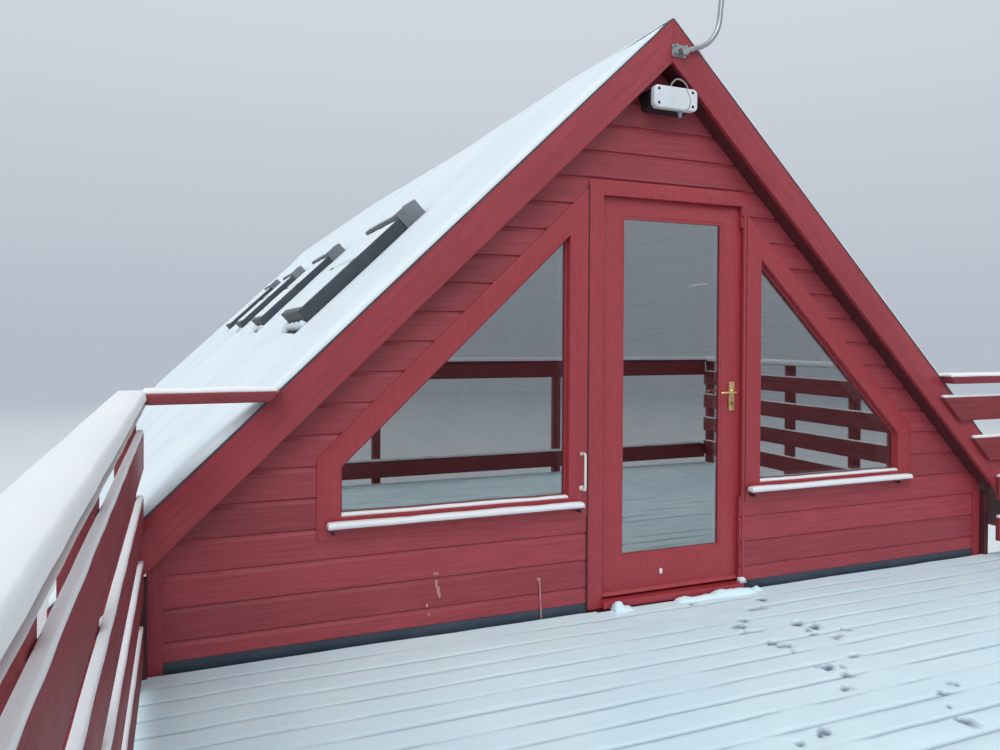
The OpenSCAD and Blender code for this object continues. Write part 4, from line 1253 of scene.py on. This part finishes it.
def makePullHandle():
    low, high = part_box("window_pull_handle")
    x, out, face, pull = 0.5 * (low.x + high.x), low.y + 0.005, high.y, newShape()
    head, foot = high.z - 0.012, low.z + 0.014
    bar = [
        (face, head), (out + 0.008, high.z - 0.008), (out, high.z - 0.022), (out, 0.5 * (low.z + high.z)),
        (out, low.z + 0.022), (out + 0.008, low.z + 0.010), (face, foot),
    ]
    addTube(pull, curveThrough([(x, y, z) for y, z in bar], 36), fittings["pull"], 10)
    for z, size in ((head, 0.009), (foot, 0.013)):
        points = [(x, face - out, z) for out, _ in fittings["footForm"]]
        addTube(pull, points, [share * size for _, share in fittings["footForm"]], 14)
    piece("pullHandle", pull, "pale", "pale_metal", smooth=True, node="window_pull_handle")


def makeSills():
    # Lugs under the outer sills, and the boards inside
    lugs, boards, low = newShape(), newShape(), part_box("window_sills")[0]
    for x in fittings["lugs"]:
        start = (x - 0.005, low.y + 0.006, low.z - 0.018)
        addBoard(lugs, start, (x + 0.005, wallFront - 0.022, low.z + 0.002), 0.0015)
    piece("sillLugs", lugs, "seal", "dark_flashing")
    for win in windows:
        x0, x1 = windowSpan(win, 0.013)
        addBoard(boards, (x0, -0.020, win["foot"] + 0.0125), (x1, 0.100, win["foot"] + 0.0305))
    piece("innerSills", boards, "innerSill", "floor_timber")


def makeDoorStrips():
    # The bright edge between the door's two panes, and the joints where frames meet, drawn as near-black red strips of
    # painted shade
    strip, joints, (low, high) = newShape(), newShape(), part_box("door_glass")
    start = (high.x - 0.030, high.y + 0.0005, low.z + 0.014)
    addBoard(strip, start, (high.x - 0.0135, high.y + 0.006, high.z - 0.014), 0.001)
    piece("paneSpacer", strip, "plastic", "red_joinery", "door")
    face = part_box("window_frame_left")[0].y
    for x, (z0, z1, half) in ((doorLow.x, fittings["leftJoint"]), (doorHigh.x, fittings["rightJoint"])):
        addBoard(joints, (x - half, face - 0.0012, z0), (x + half, face + 0.004, z1), 0.0004)
    piece("frameJoints", joints, "shadeRed", "red_joinery")


def makeBracketBolts():
    bolts, (low, high), inset = newShape(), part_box("aerial_bracket"), fittings["boltInset"]
    for x, z in itertools.product((low.x + inset, high.x - inset), (low.z + inset, high.z - inset)):
        for start, end, radius, sides in fittings["boltForm"]:
            addTube(bolts, [(x, vergeFront - start, z), (x, vergeFront - end, z)], radius, sides)
    piece("bracketBolts", bolts, "steel", "galvanised")


# A painted lead down the wall, worn flecks in the paint, and snow caught on the door's step and foot
wallMarks = {
    "out": 0.0195, "leadWide": 0.0042, "lead": [(-0.656, 2.600), (-0.652, 2.585), (-0.648, 2.520), (-0.642, 2.406)],
    "flecks": [
        (-1.162, 2.678, 0.007, 0.006), (-1.150, 2.676, 0.004, 0.005), (-1.156, 2.632, 0.005, 0.018),
        (-1.147, 2.602, 0.006, 0.018), (-1.141, 2.580, 0.005, 0.012), (-1.199, 2.541, 0.005, 0.008),
        (-1.190, 2.500, 0.005, 0.006),
    ],
    "stepSnow": (0.498, 0.540, -0.114, -0.078), "stepDepth": 0.034, "speck": ((0.031, 2.537), (0.048, 2.565)),
}


def makeWallMarks():
    lead, flecks, clot, speck = (newShape() for _ in range(4))
    face, leaf = wallFront - wallMarks["out"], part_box("door_leaf")[0].y
    path = curveThrough([(x, face - 0.0045, z) for x, z in wallMarks["lead"]], 12)
    addTube(lead, path, wallMarks["leadWide"], 8)
    addBoard(lead, (-0.664, face - 0.008, 2.588), (-0.648, face + 0.004, 2.602))
    piece("wallLead", lead, "scuff", "red_boarding")
    for x, z, a, b in wallMarks["flecks"]:
        addPlate(flecks, (x - a, z - b), (x + a, z + b), 0.9 * min(a, b), face - 0.0012, face + 0.0030, 0.0006)
    piece("paintFlecks", flecks, "scuff", "red_boarding")
    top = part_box("door_threshold")[1].z - 0.001
    addStrip(clot, wallMarks["stepSnow"], top, wallMarks["stepDepth"], "step")
    piece("stepSnow", clot, "snow", smooth=True)
    addPlate(speck, *wallMarks["speck"], 0.008, leaf - 0.003, leaf + 0.002, 0.002)
    piece("doorSpeck", speck, "snow", body="door")


makeApexBox()
makeHandle()
makePullHandle()
makeSills()
makeDoorStrips()
makeBracketBolts()
makeWallMarks()
print("door and window detail made")

scene = bpy.context.scene
studio = {
    "sky": 0.86, "skyColour": (0.91, 0.965, 1.0), "horizon": (0.46, 0.51, 0.58), "zenith": (0.80, 0.84, 0.90),
    "sun": 1.14, "sunAngle": 40, "sunColour": (0.97, 0.985, 1.0), "sunFrom": (-0.35, -0.72, 0.80),
    "floor": (0.66, 0.68, 0.70), "floorHalf": 90,
}


def seenRays(tree):
    # 1 where the camera, a reflection or a pane looks at the backdrop
    rays = tree.nodes.new("ShaderNodeLightPath").outputs
    both = mathOf(tree, "MAXIMUM", rays["Is Camera Ray"], rays["Is Glossy Ray"])
    return mathOf(tree, "MAXIMUM", both, rays["Is Transmission Ray"])


def makeSky():
    world = bpy.data.worlds.new("studioWorld")
    scene.world = world
    world.use_nodes = True
    tree = world.node_tree
    light = tree.nodes["Background"]
    feed(tree, light.inputs["Color"], studio["skyColour"])
    feed(tree, light.inputs["Strength"], studio["sky"])
    up = wire(tree, "ShaderNodeSeparateXYZ", {0: wire(tree, "ShaderNodeTexCoord", output="Generated")}, 2)
    shades = rampOf(tree, up, [(0.0, studio["horizon"]), (0.75, studio["zenith"])])
    seen = wire(tree, "ShaderNodeBackground", {"Color": shades})
    mix = wire(tree, "ShaderNodeMixShader", {0: seenRays(tree), 1: light.outputs[0], 2: seen})
    tree.links.new(mix, tree.nodes["World Output"].inputs["Surface"])


def makeSun():
    lamp = bpy.data.lights.new("softSun", "SUN")
    lamp.energy, lamp.angle, lamp.color = studio["sun"], math.radians(studio["sunAngle"]), studio["sunColour"]
    obj = bpy.data.objects.new("softSun", lamp)
    obj.rotation_euler = Vector(studio["sunFrom"]).to_track_quat("Z", "Y").to_euler()
    collection.objects.link(obj)


def makeFloor():
    # The floor fades into the horizon's colour far from the building
    mat, tree = newMaterial("studioFloor")
    pale, half = studio["floor"], studio["floorHalf"]
    tones = rampOf(tree, noiseOf(tree, patternSpace(tree), 0.4), [(0, tuple(v * 0.97 for v in pale)), (1, pale)])
    dress(mat, {"Base Color": tones, "Roughness": 0.85})
    place = {0: wire(tree, "ShaderNodeTexCoord", output="Object")}
    away = wire(tree, "ShaderNodeVectorMath", place, "Value", operation="LENGTH")
    far = rampOf(tree, mathOf(tree, "DIVIDE", away, 60), [(0.30, 0.0), (0.75, 1.0)])
    glow = wire(tree, "ShaderNodeEmission", {"Color": studio["horizon"]})
    share = mathOf(tree, "MULTIPLY", far, seenRays(tree))
    ground = tree.nodes["Principled BSDF"].outputs[0]
    mix = wire(tree, "ShaderNodeMixShader", {0: share, 1: ground, 2: glow})
    tree.links.new(mix, tree.nodes["Material Output"].inputs["Surface"])
    paints["studioFloor"] = mat
    shape = newShape()
    shape["verts"] = [(-half, -half, 0), (half, -half, 0), (half, half, 0), (-half, half, 0)]
    shape["faces"] = [(0, 1, 2, 3)]
    toObject("studioFloor", shape, "studioFloor")


makeSky()
makeSun()
makeFloor()
scene.view_settings.view_transform = "Standard"
print("studio set")
